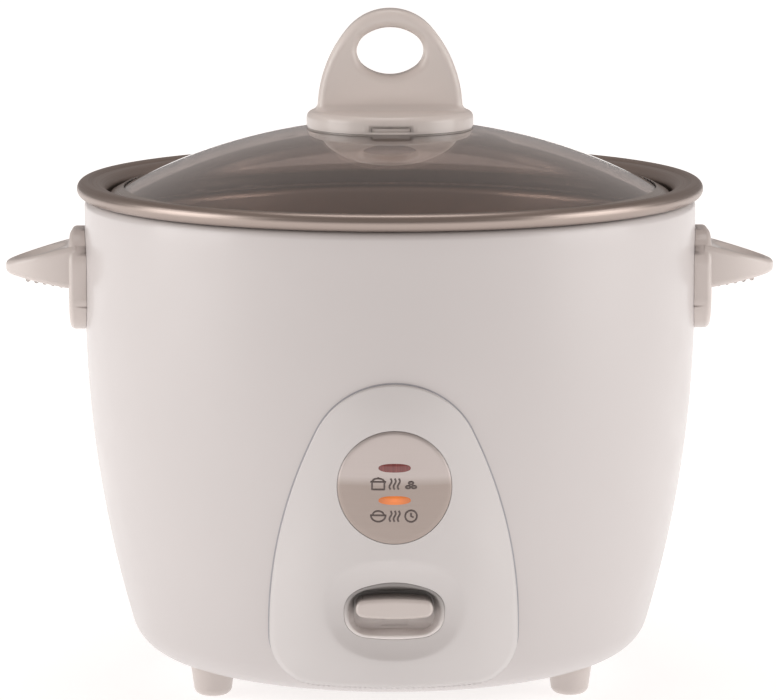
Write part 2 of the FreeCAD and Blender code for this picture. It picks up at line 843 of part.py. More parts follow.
def make_handles():
    """Oval wall plate and a tapered wing with a thumb hollow above and grip ribs below."""
    envelope = DOC.getObject("body_envelope")
    face = s.body_radius + s.handle_plate
    tip = s.body_radius + s.wing_reach
    wing_root = s.body_radius + s.handle_plate / 2
    plate = padded("handle_plate_body", "YZ_Plane",
                   [rectangle(s.plate_half_width, s.plate_low, s.plate_high, s.plate_corner)],
                   s.body_radius - s.plate_corner, s.plate_corner + s.handle_plate)
    edge_rounded(plate, "plate_round", s.plate_edge, lambda box: box.XMin > face.value - 0.01)
    side = padded("wing_side", "XZ_Plane", [[
        Corner(wing_root, s.wing_low), Corner(tip, s.tip_low),
        Corner(tip, s.tip_high), Corner(wing_root, s.wing_high)]], 0, s.wing_half_width * 3, True)
    crown = bullet(s.wing_half_width, s.wing_crown, face, tip)
    plan = padded("wing_plan", "XY_Plane", [swapped(
        [Corner(-s.wing_half_width, wing_root), Corner(s.wing_half_width, wing_root)] + crown)],
        s.plate_low, s.plate_high - s.plate_low)
    wing = shared("wing_blank", side, plan)
    DOC.recompute()
    smooth = DOC.addObject("Part::Fillet", "wing")
    smooth.Base = wing
    reach = wing_root.value + 0.01
    smooth.Edges = [(n, s.wing_edge.value, s.wing_edge.value) for n, edge in enumerate(wing.Shape.Edges, 1)
                    if edge.BoundBox.XMax > reach and edge.BoundBox.YLength > 1]
    hollow = DOC.addObject("Part::Ellipsoid", "thumb_hollow")
    slope = (s.wing_high - s.tip_high) / (tip - wing_root)
    middle = (face + tip) / 2
    bind(hollow, "Radius1", s.thumb_depth * 2)
    bind(hollow, "Radius2", s.thumb_length)
    bind(hollow, "Radius3", s.thumb_half_width)
    tilt = math.degrees(math.atan(slope.value))
    hollow.Placement = Placement(Vector(), Rotation(Vector(0, 1, 0), tilt))
    bind(hollow, "Placement.Base.x", middle)
    bind(hollow, "Placement.Base.z", s.wing_high - slope * (middle - wing_root) + s.thumb_depth)
    under = (s.tip_low - s.wing_low) / (tip - wing_root)
    ribs = []
    for number in range(RIB_COUNT):
        x = face + s.rib_pitch * (number + 1)
        length = s.wing_half_width * 1.2
        ribs.append(cylinder("rib_%d" % number, s.rib_radius, length,
                             (x, -length / 2, s.wing_low + under * (x - wing_root)), (0, 1, 0)))
    bores = [bore("handle_bore_%d" % number, handle_screw_seat(angle), outwards(angle),
                  s.screw_grip - s.screw_radius + s.fit_gap, s.pin_gap)
             for number, angle in enumerate(HANDLE_SCREW_ANGLES)]
    solid = fused("handle_solid", plate, smooth, *ribs)
    right = piece(cut("handle_right", solid, envelope, hollow, *bores), "handle_right")
    left = DOC.addObject("Part::Mirroring", "handle_left")
    left.Source = right
    left.Normal = Vector(1, 0, 0)
    piece(left, "handle_left")
    length = s.screw_grip - s.screw_radius
    screws = [screw("handle_screw_%d_%d" % (side_angle, number), handle_screw_seat(side_angle + angle),
                    outwards(side_angle + angle), length)
              for side_angle in (0, 180) for number, angle in enumerate(HANDLE_SCREW_ANGLES)]
    piece(group("handle_screws", screws), "handle_screws")


# Front panel with its lamps and bezel

def face_solid(name, offset):
    """Solid of revolution inside the panel's face, about an axis of its own that stands nearer to the front."""
    low, high = s.foot_height, s.taper_start
    item = turned(name, [Corner(0, low), Corner(panel_surface(low, offset) - s.panel_axis, low),
                         Corner(panel_surface(high, offset) - s.panel_axis, high, arc=s.panel_curve + offset),
                         Corner(0, high)])
    bind(item, "Placement.Base.y", -s.panel_axis)
    return item


def dish_tool():
    """Ellipsoid that hollows the panel round the switch."""
    item = DOC.addObject("Part::Ellipsoid", "dish")
    bind(item, "Radius1", s.dish_tall)
    bind(item, "Radius2", s.dish_across)
    bind(item, "Radius3", s.dish_through)
    item.Placement = Placement(Vector(), Rotation(Vector(1, 0, 0), s.dish_tilt.value))
    bind(item, "Placement.Base.y", s.dish_depth - s.dish_through - panel_surface(s.dish_height))
    bind(item, "Placement.Base.z", s.dish_height)
    return item


def funnel(name, grow, back):
    """Loft from the bezel's mouth to its narrower end, grown or shrunk all round."""
    low = s.dish_height - s.bezel_half_height - grow
    high = s.dish_height + s.bezel_half_height + grow
    mouth = rectangle(s.bezel_half_width + grow, low, high, s.bezel_corner + grow)
    middle = s.dish_height - s.bezel_back_drop
    end = rectangle(s.bezel_back_half_width + grow, middle - s.bezel_back_half_height - grow,
                    middle + s.bezel_back_half_height + grow, s.bezel_back_corner + grow)
    return lofted(name, mouth, panel_surface(s.dish_height) - s.bezel_front, end, back)


def make_front_panel(dish):
    envelope = DOC.getObject("body_envelope")
    outline = [Corner(-s.panel_half_width, s.panel_bottom, s.panel_corner),
               Corner(s.panel_half_width, s.panel_bottom, s.panel_corner)]
    outline += bullet(s.panel_half_width, s.panel_crown, s.panel_shoulder, s.panel_top)
    prism = padded("panel_prism", "XZ_Plane", [outline], s.body_radius / 2, s.body_radius)
    blank = cut("panel_blank", shared("panel_raised", prism, face_solid("panel_face", 0)), envelope)
    DOC.recompute()
    smooth = DOC.addObject("Part::Fillet", "panel_smooth")
    smooth.Base = blank
    face = max(blank.Shape.Faces, key=lambda item: item.Area)
    smooth.Edges = [(n, s.panel_edge.value, s.panel_edge.value)
                    for n, edge in enumerate(blank.Shape.Edges, 1)
                    if any(edge.isSame(other) for other in face.Edges)]
    disc_seat = cut("disc_seat", cylinder("disc_hole", s.disc_radius + s.fit_gap, s.body_radius * 2,
                                          (0, 0, s.disc_height), (0, -1, 0)),
                    face_solid("disc_floor", s.disc_proud - s.disc_thickness - s.fit_gap))
    window = s.contact_gap / 2
    lamp_hole = block("lamp_hole", about(s.holder_half_width + window), (-s.body_radius * 2, -s.holder_back),
                      (s.disc_height - s.holder_half_height - window,
                       s.disc_height + s.holder_half_height + window))
    bezel_hole = funnel("bezel_hole", s.fit_gap, s.bezel_back - s.fit_gap)
    bores = []
    screws = []
    for number, (angle, height, seat) in enumerate(panel_screw_places()):
        length = panel_reach(angle + 90, height - s.screw_radius) - s.panel_cover - seat
        bores.append(bore("panel_bore_%d" % number, around(angle, seat, height), outwards(angle),
                          length + s.fit_gap, s.pin_gap))
        screws.append(screw("panel_screw_%d" % number, around(angle, seat, height), outwards(angle), length))
    piece(cut("front_panel", smooth, dish, disc_seat, lamp_hole, bezel_hole, *bores), "front_panel")
    piece(group("panel_screws", screws), "panel_screws")


def make_bezel(dish):
    """Grey funnel whose rim lies flush with the dish, with a slot for the lever at its narrow end."""
    blank = funnel("bezel_blank", 0, s.bezel_back)
    hollow = funnel("bezel_hollow", -s.bezel_wall, s.bezel_back + s.bezel_wall)
    gap = s.contact_gap
    slot = block("lever_slot", about(s.arm_width / 2 + gap * 2), (-s.cap_back, -s.bezel_back),
                 (s.arm_low - s.lever_travel - gap, s.lever_height + s.arm_height / 2 + gap))
    piece(cut("switch_bezel", blank, hollow, slot, dish), "switch_bezel")


def lens_outline(height, grow):
    return oval(s.lens_half_length + grow, s.lens_half_height + grow, s.lens_end + grow, height)


def make_indicator():
    """Silver plate that follows the panel's face, its two lenses and the lamps behind them."""
    heights = {"cook": s.disc_height + s.cook_lens_rise, "warm": s.disc_height - s.warm_lens_drop}
    layer = cut("disc_layer", face_solid("disc_front", s.disc_proud),
                face_solid("disc_back", s.disc_proud - s.disc_thickness))
    disc = shared("disc_blank", layer, cylinder("disc_round", s.disc_radius, s.body_radius * 2,
                                                (0, 0, s.disc_height), (0, -1, 0)))
    lens_face = face_solid("lens_face", s.lens_proud)
    windows = []
    pockets = []
    for name, height in heights.items():
        back = panel_surface(height) - s.lens_depth
        blank = padded(name + "_lens_blank", "XZ_Plane", [lens_outline(height, 0)], back, s.body_radius)
        piece(shared(name + "_lens", blank, lens_face), name + "_lens")
        windows.append(padded(name + "_window", "XZ_Plane", [lens_outline(height, s.fit_gap)],
                              s.holder_back, s.body_radius))
        lamp_front = back - s.contact_gap
        piece(cylinder(name + "_lamp", s.lamp_radius, lamp_front - s.holder_back,
                       (0, -s.holder_back, height), (0, -1, 0)), name + "_lamp")
        pockets.append(cylinder(name + "_pocket", s.lamp_bore, back - s.holder_back,
                                (0, -s.holder_back, height), (0, -1, 0)))
    piece(cut("indicator_plate", disc, *windows), "indicator_plate")
    holder = block("holder_block", about(s.holder_half_width), (-s.holder_front, -s.holder_back),
                   (s.disc_height - s.holder_half_height, s.disc_height + s.holder_half_height))
    piece(cut("lamp_holder", holder, *windows, *pockets), "lamp_holder")
    piece(block("lamp_board", about(s.holder_half_width + s.board_margin),
                (-s.holder_back, s.board_thickness - s.holder_back),
                (s.disc_height - s.holder_half_height - s.board_margin,
                 s.disc_height + s.holder_half_height + s.board_margin)), "lamp_board")


# Cook lever, its bracket and the microswitch

def make_lever():
    cap = padded("cap_body", "XZ_Plane",
                 [oval(s.cap_half_width, s.cap_half_height, s.cap_end, s.lever_height)],
                 s.cap_back, panel_surface(s.lever_height) - s.cap_setback - s.cap_back)
    edge_rounded(cap, "cap_round", s.cap_edge,
                 lambda box: box.YMax < (s.cap_setback - panel_surface(s.lever_height)).value + 0.01)
    piece(cap, "lever_cap")
    half = s.arm_width / 2
    front = block("arm_front", about(half), (-s.cap_back, -s.pivot_back),
                  (s.arm_low, s.lever_height + s.arm_height / 2))
    hub = cylinder("arm_hub", s.hub_radius, s.arm_width, (-half, -s.pivot_back, s.pivot_height), (1, 0, 0))
    toe_low = s.toe_height - s.arm_height
    rear = padded("arm_rear", "YZ_Plane", [[
        Corner(-s.pivot_back - s.arm_height / 2, s.pivot_height - s.arm_height / 2),
        Corner(-s.toe_length, toe_low), Corner(s.toe_length, toe_low),
        Corner(s.toe_length, s.toe_height), Corner(-s.toe_length, s.toe_height),
        Corner(s.arm_height / 2 - s.pivot_back, s.pivot_height + s.arm_height / 2)]],
        0, s.arm_width, True)
    hole = cylinder("arm_bore", s.pin_radius + s.pin_gap, s.arm_width * 2,
                    (-s.arm_width, -s.pivot_back, s.pivot_height), (1, 0, 0))
    piece(cut("cook_lever", fused("arm_solid", front, hub, rear), hole), "cook_lever")


def switch_pin(name, back, radius, height, half):
    return cylinder(name, radius, half * 2, (-half, -back, height), (1, 0, 0))


def make_switch():
    """Bracket with two cheeks that carries the lever's pin and the microswitch."""
    inner = s.arm_width / 2 + s.cheek_gap
    outer = inner + s.cheek_wall
    backs = (s.switch_back - s.switch_pin_spread, s.switch_back + s.switch_pin_spread)
    switch_reach = s.switch_back + s.switch_half_length
    tower = (-s.pivot_back - s.tower_half_length, s.tower_half_length - s.pivot_back)
    cheeks = []
    for name, limits in (("left", (-outer, -inner)), ("right", (inner, outer))):
        cheeks.append(block("tower_" + name, limits, tower, (s.base_top, s.tower_height)))
        cheeks.append(block("cheek_" + name, limits, (-switch_reach, -s.pivot_back),
                            (s.switch_bottom, s.switch_pin_height + s.tower_half_length)))
    foot = block("bracket_base", about(s.bracket_foot), tower, (s.base_top, s.base_top + s.cheek_wall))
    holes = [switch_pin("pivot_hole", s.pivot_back, s.pin_radius + s.pin_gap, s.pivot_height, outer * 2)]
    pins = []
    switch_holes = []
    for number, back in enumerate(backs):
        radius = s.switch_pin_radius
        height = s.switch_pin_height
        holes.append(switch_pin("cheek_hole_%d" % number, back, radius + s.pin_gap, height, outer * 2))
        switch_holes.append(switch_pin("switch_hole_%d" % number, back, radius + s.pin_gap, height, outer))
        pins.append(switch_pin("switch_pin_%d" % number, back, radius, height, outer + s.cheek_wall))
    piece(cut("lever_bracket", fused("bracket_solid", foot, *cheeks), *holes), "lever_bracket")
    piece(switch_pin("lever_pin", s.pivot_back, s.pin_radius, s.pivot_height, outer + s.cheek_wall),
          "lever_pin")
    piece(group("microswitch_pins", pins), "microswitch_pins")
    case = block("switch_case", about(inner - s.contact_gap),
                 (-switch_reach, s.switch_half_length - s.switch_back), (s.switch_bottom, s.switch_top))
    gap = s.contact_gap
    plunger_low = s.switch_top - s.plunger_depth
    well = block("plunger_well", about(s.plunger_half_width + gap),
                 (-s.switch_back - s.plunger_half_length - gap, s.plunger_half_length + gap - s.switch_back),
                 (plunger_low - s.plunger_travel - gap, s.switch_top))
    piece(cut("microswitch", case, well, *switch_holes), "microswitch")
    piece(block("microswitch_plunger", about(s.plunger_half_width),
                (-s.switch_back - s.plunger_half_length, s.plunger_half_length - s.switch_back),
                (plunger_low, s.plunger_top)), "microswitch_plunger")
    tabs = [block("switch_tab_%d" % number, about(s.tab_thickness / 2),
                  (-back - s.tab_width / 2, s.tab_width / 2 - back),
                  (s.switch_bottom - s.tab_length, s.switch_bottom)) for number, back in enumerate(backs)]
    piece(group("microswitch_tabs", tabs), "microswitch_tabs")


# Heating plate, element and thermostat

def make_heater():
    hole = s.sensor_radius + s.sensor_gap
    slab = turned("heater_slab", [
        Corner(hole, s.heater_under), Corner(s.heater_radius, s.heater_under),
        Corner(s.heater_radius, s.heater_top - s.heater_edge),
        Corner(s.heater_radius - s.heater_edge, s.heater_top, arc=s.heater_edge), Corner(hole, s.heater_top)])
    groove = ring("element_groove", s.element_circle, s.element_radius + s.pin_gap)
    studs = []
    screws = []
    for number, angle in enumerate(POST_ANGLES, 1):
        x, y, floor = around(angle, s.post_circle, s.base_top)
        name = "heater_post_%d" % number
        stud_hole = s.stud_length + s.fit_gap
        studs.append(cylinder(name + "_socket", s.stud_radius + s.pin_gap, stud_hole, (x, y, s.heater_under)))
        post = cylinder(name + "_shaft", s.post_radius, s.heater_under - floor, (x, y, floor))
        stud = cylinder(name + "_stud", s.stud_radius, s.stud_length, (x, y, s.heater_under))
        thread = bore(name + "_thread", (x, y, floor), (0, 0, 1), s.screw_grip + s.fit_gap, s.pin_gap)
        piece(cut(name, fused(name + "_solid", post, stud), thread), name)
        screws.append(screw("post_screw_%d" % number, (x, y, s.foot_height), (0, 0, 1),
                            s.base_top - s.foot_height + s.screw_grip))
    piece(cut("heating_plate", slab, groove, *studs), "heating_plate")
    piece(group("post_screws", screws), "post_screws")
    tube = ring("element_tube", s.element_circle, s.element_radius)
    tube.Angle3 = 360 - s.element_gap_angle.value
    turn = 90 + s.element_gap_angle.value / 2
    tube.Placement = Placement(Vector(), Rotation(Vector(0, 0, 1), turn))
    bind(tube, "Placement.Base.z", s.heater_under)
    pins = []
    for name, angle in terminal_angles().items():
        x, y, top = around(angle, s.element_circle, s.heater_under)
        pins.append(cylinder("terminal_" + name, s.terminal_radius, s.terminal_length,
                             (x, y, top - s.terminal_length)))
    piece(fused("heating_element", tube, *pins), "heating_element")


def terminal_angles():
    """Directions of the element's two terminals, a little inside the ends of its tube."""
    half = s.element_gap_angle.value / 2
    inset = math.degrees(s.terminal_radius.value / s.element_circle.value)
    return {"left": 90 + half + inset, "right": 90 - half - inset}


def ring(name, circle, radius):
    item = DOC.addObject("Part::Torus", name)
    bind(item, "Radius1", circle)
    bind(item, "Radius2", radius)
    bind(item, "Placement.Base.z", s.heater_under)
    return item


def make_thermostat():
    """Sprung cap that feels the pan, and the magnet that the lever lifts to the ferrite inside it."""
    cap_low = s.heater_top - s.sensor_height
    inside = s.sensor_radius - s.sensor_wall
    piece(turned("sensor_cap", [
        Corner(inside, cap_low), Corner(s.sensor_radius, cap_low), Corner(s.sensor_radius, s.heater_top),
        Corner(0, s.heater_top), Corner(0, s.heater_top - s.sensor_wall),
        Corner(inside, s.heater_top - s.sensor_wall)]), "sensor_cap")
    piece(cylinder("ferrite_core", s.ferrite_radius, s.ferrite_thickness, (0, 0, s.ferrite_under)),
          "ferrite_core")
    piece(cylinder("magnet", s.magnet_radius, s.magnet_thickness, (0, 0, s.magnet_under)), "magnet")
    rod_low = s.toe_height + s.contact_gap
    piece(turned("magnet_rod", [
        Corner(0, rod_low), Corner(s.rod_radius, rod_low), Corner(s.rod_radius, s.collar_bottom),
        Corner(s.collar_radius, s.collar_bottom), Corner(s.collar_radius, s.collar_top),
        Corner(s.rod_radius, s.collar_top), Corner(s.rod_radius, s.magnet_under),
        Corner(0, s.magnet_under)]), "magnet_rod")
    wall = s.sleeve_wall
    bottom, top = s.sleeve_bottom, s.sleeve_top
    guide = s.rod_radius + s.rod_gap
    tube = s.sleeve_radius - wall
    piece(turned("thermostat_sleeve", [
        Corner(guide, bottom), Corner(s.sleeve_flange, bottom), Corner(s.sleeve_flange, bottom + wall),
        Corner(s.sleeve_radius, bottom + wall), Corner(s.sleeve_radius, top), Corner(guide, top),
        Corner(guide, top - wall), Corner(tube, top - wall), Corner(tube, bottom + wall),
        Corner(guide, bottom + wall)]), "thermostat_sleeve")
    coil("sensor_spring", s.sensor_spring_radius, s.sensor_wire, bottom + wall, s.ferrite_under, SENSOR_TURNS)
    coil("return_spring", s.return_spring_radius, s.return_wire, s.collar_top, top - wall, RETURN_TURNS)
    strap = s.strap_wall
    half = s.strap_half_length
    parts = [block("strap_floor", about(half), about(s.strap_half_width), (bottom - strap, bottom))]
    for name, leg, tab in (("left", (-half, strap - half), (-half, s.strap_tab - half)),
                           ("right", (half - strap, half), (half - s.strap_tab, half))):
        parts.append(block("strap_leg_" + name, leg, about(s.strap_half_width),
                           (bottom - strap, s.heater_under)))
        parts.append(block("strap_tab_" + name, tab, about(s.strap_half_width),
                           (s.heater_under - strap, s.heater_under)))
    rod_hole = cylinder("strap_hole", guide, s.sleeve_drop, (0, 0, bottom - s.sleeve_drop))
    piece(cut("thermostat_bracket", fused("strap_solid", *parts), rod_hole), "thermostat_bracket")


def make_small_parts():
    """Keep-warm thermostat and clipped thermal fuse under the heating plate."""
    piece(cylinder("keep_warm_thermostat", s.warmer_radius, s.warmer_height,
                   (-s.warmer_across, s.small_part_back, s.heater_under - s.warmer_height)),
          "keep_warm_thermostat")
    axis = s.heater_under - s.clip_wall - s.pin_gap - s.fuse_radius
    start = s.fuse_across - s.fuse_length / 2
    piece(cylinder("thermal_fuse", s.fuse_radius, s.fuse_length, (start, s.small_part_back, axis), (1, 0, 0)),
          "thermal_fuse")
    saddle = block("clip_block", (s.fuse_across - s.clip_width / 2, s.fuse_across + s.clip_width / 2),
                   (s.small_part_back - s.clip_half_depth, s.small_part_back + s.clip_half_depth),
                   (axis - s.fuse_radius * 2, s.heater_under))
    tunnel = cylinder("clip_bore", s.fuse_radius + s.pin_gap, s.fuse_length, (start, s.small_part_back, axis),
                      (1, 0, 0))
    piece(cut("fuse_clip", saddle, tunnel), "fuse_clip")


# Coil springs

def joining_arc(start, tangent, end):
    """Arc from a point along a tangent to another point."""
    chord = end - start
    normal = (chord - tangent * chord.dot(tangent)).normalize()
    radius = chord.dot(chord) / (2 * chord.dot(normal))
    centre = start + normal * radius
    middle = ((start - centre) + (end - centre)).normalize() * radius
    return Part.Arc(start, centre + middle, end).toShape()


def biarc(start, leaving, end, arriving):
    """Two arcs that join two points with the given unit tangents."""
    chord = end - start
    both = leaving + arriving
    spread = 2 * (1 - leaving.dot(arriving))
    along = chord.dot(both)
    reach = (math.sqrt(along ** 2 + spread * chord.dot(chord)) - along) / spread
    join = (start + end + (leaving - arriving) * reach) * 0.5
    direction = (join - (start + leaving * reach)).normalize()
    return [joining_arc(start, leaving, join), joining_arc(join, direction, end)]


def coil(label, radius, wire, low, high, turns):
    """Compression spring between two seats, as one unbroken tube on a helix of biarcs."""
    mean, thick = radius.value, wire.value
    clear = s.fit_gap.value
    bottom = low.value + thick + clear
    rise = (high.value - thick - clear - bottom) / (turns * 2 * math.pi)
    slope = math.hypot(mean, rise)

    def point(angle):
        return Vector(mean * math.cos(angle), mean * math.sin(angle), bottom + rise * angle)

    def tangent(angle):
        return Vector(-mean * math.sin(angle), mean * math.cos(angle), rise) * (1 / slope)

    edges = []
    for quarter in range(turns * 4):
        first, last = quarter * math.pi / 2, (quarter + 1) * math.pi / 2
        edges += biarc(point(first), tangent(first), point(last), tangent(last))
    section = Part.Wire(Part.Circle(point(0), tangent(0), thick).toShape())
    item = DOC.addObject("Part::Feature", label)
    item.Shape = Part.Wire(edges).makePipeShell([section], True, False)
    item.Placement = Placement()
    pitch = rise * 2 * math.pi
    steps = [index * math.pi / 36 for index in range(73)]
    nearest = min((point(2 * math.pi + angle) - point(math.pi)).Length for angle in steps)
    print("%s: pitch %.2f mm, least gap between turns %.2f mm" % (label, pitch, nearest - 2 * thick))
    piece(item, label)


# Power inlet and the leads inside the base

def make_inlet():
    envelope = DOC.getObject("body_envelope")

    def frame(name, half_width, half_height, corner, start, length):
        return padded(name, "XZ_Plane", [rectangle(half_width, s.inlet_height - half_height,
                                                   s.inlet_height + half_height, corner)], -start, length)

    blank = frame("flange_blank", s.inlet_half_width, s.inlet_half_height, s.inlet_corner,
                  s.inlet_face, s.inlet_flange_depth)
    flange = cut("inlet_flange", blank, envelope)
    wall = s.socket_wall
    case = frame("inlet_case", s.socket_half_width + wall, s.socket_half_height + wall,
                 s.socket_corner + wall, s.inlet_face, s.inlet_face - s.inlet_back)
    socket = frame("inlet_socket", s.socket_half_width, s.socket_half_height, s.socket_corner,
                   s.inlet_face, s.socket_depth)
    blades = []
    slots = []
    for number, across in enumerate((-s.blade_pitch, 0, s.blade_pitch)):
        half = s.blade_thickness / 2
        blades.append(blade("blade_%d" % number, across, half, 0))
        slots.append(blade("blade_slot_%d" % number, across, half, s.pin_gap))
    bores = []
    screws = []
    for number, across in enumerate((-s.inlet_screw_spread, s.inlet_screw_spread)):
        seat = (across, s.inlet_face, s.inlet_height)
        bores.append(bore("flange_bore_%d" % number, seat, (0, -1, 0), s.inlet_flange_depth, s.pin_gap))
        screws.append(screw("inlet_screw_%d" % number, seat, (0, -1, 0), s.inlet_screw_length))
    piece(cut("power_inlet", fused("inlet_solid", flange, case), socket, *slots, *bores), "power_inlet")
    piece(group("inlet_pins", blades), "inlet_pins")
    piece(group("inlet_screws", screws), "inlet_screws")


def blade(name, across, half, grow):
    return block(name, (across - half - grow, across + half + grow),
                 (s.inlet_back - s.blade_tail, s.socket_end + s.blade_reach),
                 (s.inlet_height - s.blade_width / 2 - grow, s.inlet_height + s.blade_width / 2 + grow))


def lead(label, points):
    """Insulated wire along straight runs joined by arcs as large as the runs allow."""
    radius = s.lead_radius.value
    stops = [Vector(*(value(part) for part in point)) for point in points]
    edges = []
    last = stops[0]
    for before, corner, after in zip(stops, stops[1:], stops[2:]):
        back = (before - corner).normalize()
        ahead = (after - corner).normalize()
        reach = 0.45 * min((before - corner).Length, (after - corner).Length)
        start, end = corner + back * reach, corner + ahead * reach
        half_turn = (math.pi - back.getAngle(ahead)) / 2
        bend = reach / math.tan(half_turn)
        middle = corner + (back + ahead).normalize() * (bend / math.cos(half_turn) - bend)
        edges += [Part.LineSegment(last, start).toShape(), Part.Arc(start, middle, end).toShape()]
        last = end
    edges.append(Part.LineSegment(last, stops[-1]).toShape())
    path = Part.Wire(edges)
    section = Part.Wire(Part.Circle(stops[0], stops[1] - stops[0], radius).toShape())
    item = DOC.addObject("Part::Feature", label)
    item.Shape = path.makePipeShell([section], True, False)
    item.Placement = Placement()
    print("%s: %.1f mm long, volume %.3f of section times length"
          % (label, path.Length, item.Shape.Volume / (math.pi * radius ** 2 * path.Length)))
    piece(item, label)


def make_leads():
    """Inlet to switch, switch to element and element back to inlet."""
    tail = s.inlet_back - s.blade_tail - s.fit_gap
    pins = {name: around(angle, s.element_circle, s.heater_under - s.terminal_length - s.fit_gap)
            for name, angle in terminal_angles().items()}
    low = s.switch_bottom - s.tab_length / 2
    near = s.switch_pin_spread - s.switch_back
    far = -s.switch_pin_spread - s.switch_back
    touch = s.tab_thickness / 2 + s.fit_gap
    below = s.lead_radius * 10
    lead("lead_live", [(-s.blade_pitch, tail, s.inlet_height), (-s.blade_pitch, tail - 12, s.inlet_height),
                       (-26, 40, 24), (-42, 12, 20), (-38, -26, 20), (-24, -54, low), (-12, near, low),
                       (-touch, near, low)])
    lead("lead_heater", [(touch, far, low), (12, far, low), (26, -64, low), (42, -34, 20), (43, 4, 21),
                         (26, 30, 24), (-2, 40, 28),
                         (pins["left"][0], pins["left"][1], pins["left"][2] - below), pins["left"]])
    lead("lead_neutral", [(s.blade_pitch, tail, s.inlet_height), (s.blade_pitch, tail - 10, s.inlet_height),
                          (pins["right"][0], pins["right"][1], pins["right"][2] - below), pins["right"]])


# Pan and lid

def make_pan():
    """Drawn pan: flat floor, straight wall, a ledge for the lid, a flange and a rolled bead."""
    wall = s.pan_wall
    floor = s.pan_bottom + wall
    inner, outer = s.pan_radius, s.pan_radius + wall
    recess, recess_out = s.recess_radius, s.recess_radius + wall
    ledge, flange = s.ledge_height, s.flange_top
    small = s.recess_round
    big = s.recess_round + wall
    pan = turned("pan_drawn", [
        Corner(0, s.pan_bottom), Corner(outer, s.pan_bottom, s.pan_corner + wall),
        Corner(outer, ledge - wall, small), Corner(recess_out, ledge - wall, big),
        Corner(recess_out, flange - wall, small), Corner(s.bead_circle, flange - wall),
        Corner(s.bead_circle, flange), Corner(recess, flange, big),
        Corner(recess, ledge, small), Corner(inner, ledge, big),
        Corner(inner, floor, s.pan_corner), Corner(0, floor)])
    bead = DOC.addObject("Part::Torus", "pan_bead")
    bind(bead, "Radius1", s.bead_circle)
    bind(bead, "Radius2", s.bead_radius)
    bind(bead, "Placement.Base.z", s.bead_height)
    piece(fused("inner_pan", pan, bead), "inner_pan")


def make_lid():
    edge = s.glass_edge
    hole = s.glass_hole
    inside = -s.glass_thickness
    piece(turned("lid_glass", [
        Corner(hole, dome(hole, inside)), Corner(edge, dome(edge, inside), arc=s.inner_curve, turn=RIGHT),
        Corner(edge, dome(edge)), Corner(hole, dome(hole), arc=s.lid_curve)]), "lid_glass")
    wall = s.band_wall
    outer, inner = s.band_outer, s.band_outer - wall
    lip = s.band_outer - s.band_lip
    lift = s.fit_gap
    lip_low = dome(lip, lift)
    fall = (lip_low - dome(edge, lift)) / (edge - lip)
    piece(turned("lid_band", [
        Corner(lip, s.band_bottom), Corner(outer, s.band_bottom),
        Corner(outer, lip_low + wall - fall * (outer - lip)), Corner(lip, lip_low + wall),
        Corner(lip, lip_low), Corner(inner, lip_low - fall * (inner - lip)),
        Corner(inner, s.band_bottom + wall), Corner(lip, s.band_bottom + wall)]), "lid_band")
    make_knob()
    piece(turned("knob_seal", [
        Corner(s.seal_inner, dome(s.seal_inner, lift)),
        Corner(s.seal_outer, dome(s.seal_outer, lift), arc=s.lid_curve + lift, turn=RIGHT),
        Corner(s.seal_outer, dome(s.seal_outer, s.seal_thickness)),
        Corner(s.seal_inner, dome(s.seal_inner, s.seal_thickness), arc=s.lid_curve + s.seal_thickness)]),
        "knob_seal")
    piece(turned("knob_washer", [
        Corner(s.screw_radius + s.fit_gap, s.washer_top - s.washer_thickness),
        Corner(s.washer_radius, s.washer_top - s.washer_thickness), Corner(s.washer_radius, s.washer_top),
        Corner(s.screw_radius + s.fit_gap, s.washer_top)]), "knob_washer")
    piece(screw("knob_screw", (0, 0, s.washer_top - s.washer_thickness), (0, 0, 1), s.knob_screw_length),
          "knob_screw")


def make_knob():
    """Round base that follows the glass, with a flat arch on it and a finger hole through the arch."""
    lift = s.seal_thickness + s.fit_gap
    radius = s.knob_radius
    shelf = s.knob_shelf
    body = turned("knob_body", [
        Corner(0, s.lid_apex + lift),
        Corner(radius, dome(radius, lift), arc=s.lid_curve + lift, turn=RIGHT),
        Corner(radius, shelf - s.knob_round), Corner(radius - s.knob_round, shelf, arc=s.knob_round),
        Corner(0, shelf)])
    arch = bullet(s.knob_half_width, s.knob_crown, shelf, s.knob_top)
    sunk = shelf - s.knob_round / 2
    arch = [Corner(-s.knob_half_width, sunk), Corner(s.knob_half_width, sunk)] + arch
    hole = oval(s.hole_half_width, s.hole_half_height, s.hole_end, s.knob_top - s.hole_drop)
    add_pad(body, "XZ_Plane", [arch, hole], 0, s.knob_thickness, True)
    half = s.knob_thickness.value / 2
    width = 2 * s.knob_half_width.value
    low = shelf.value
    edge_rounded(body, "knob_edges", s.knob_edge,
                 lambda box: abs(box.YMin) > half - 0.01 and box.YLength < 0.01 and box.ZMax > low + 0.01)
    edge_rounded(body, "knob_roots", s.knob_root,
                 lambda box: abs(box.ZMin - low) < 0.01 and box.ZLength < 0.01 and box.XLength < width + 0.01)
    tip = s.washer_top - s.washer_thickness
    thread = bore("knob_thread", (0, 0, tip), (0, 0, 1), s.knob_screw_length + s.fit_gap, s.pin_gap)
    vent_low = dome(radius, lift)
    vent = block("steam_notch", about(s.vent_width / 2), (-radius * 2, -s.seal_outer),
                 (vent_low - s.vent_height, vent_low + s.vent_height))
    piece(cut("lid_knob", body, thread, vent), "lid_knob")


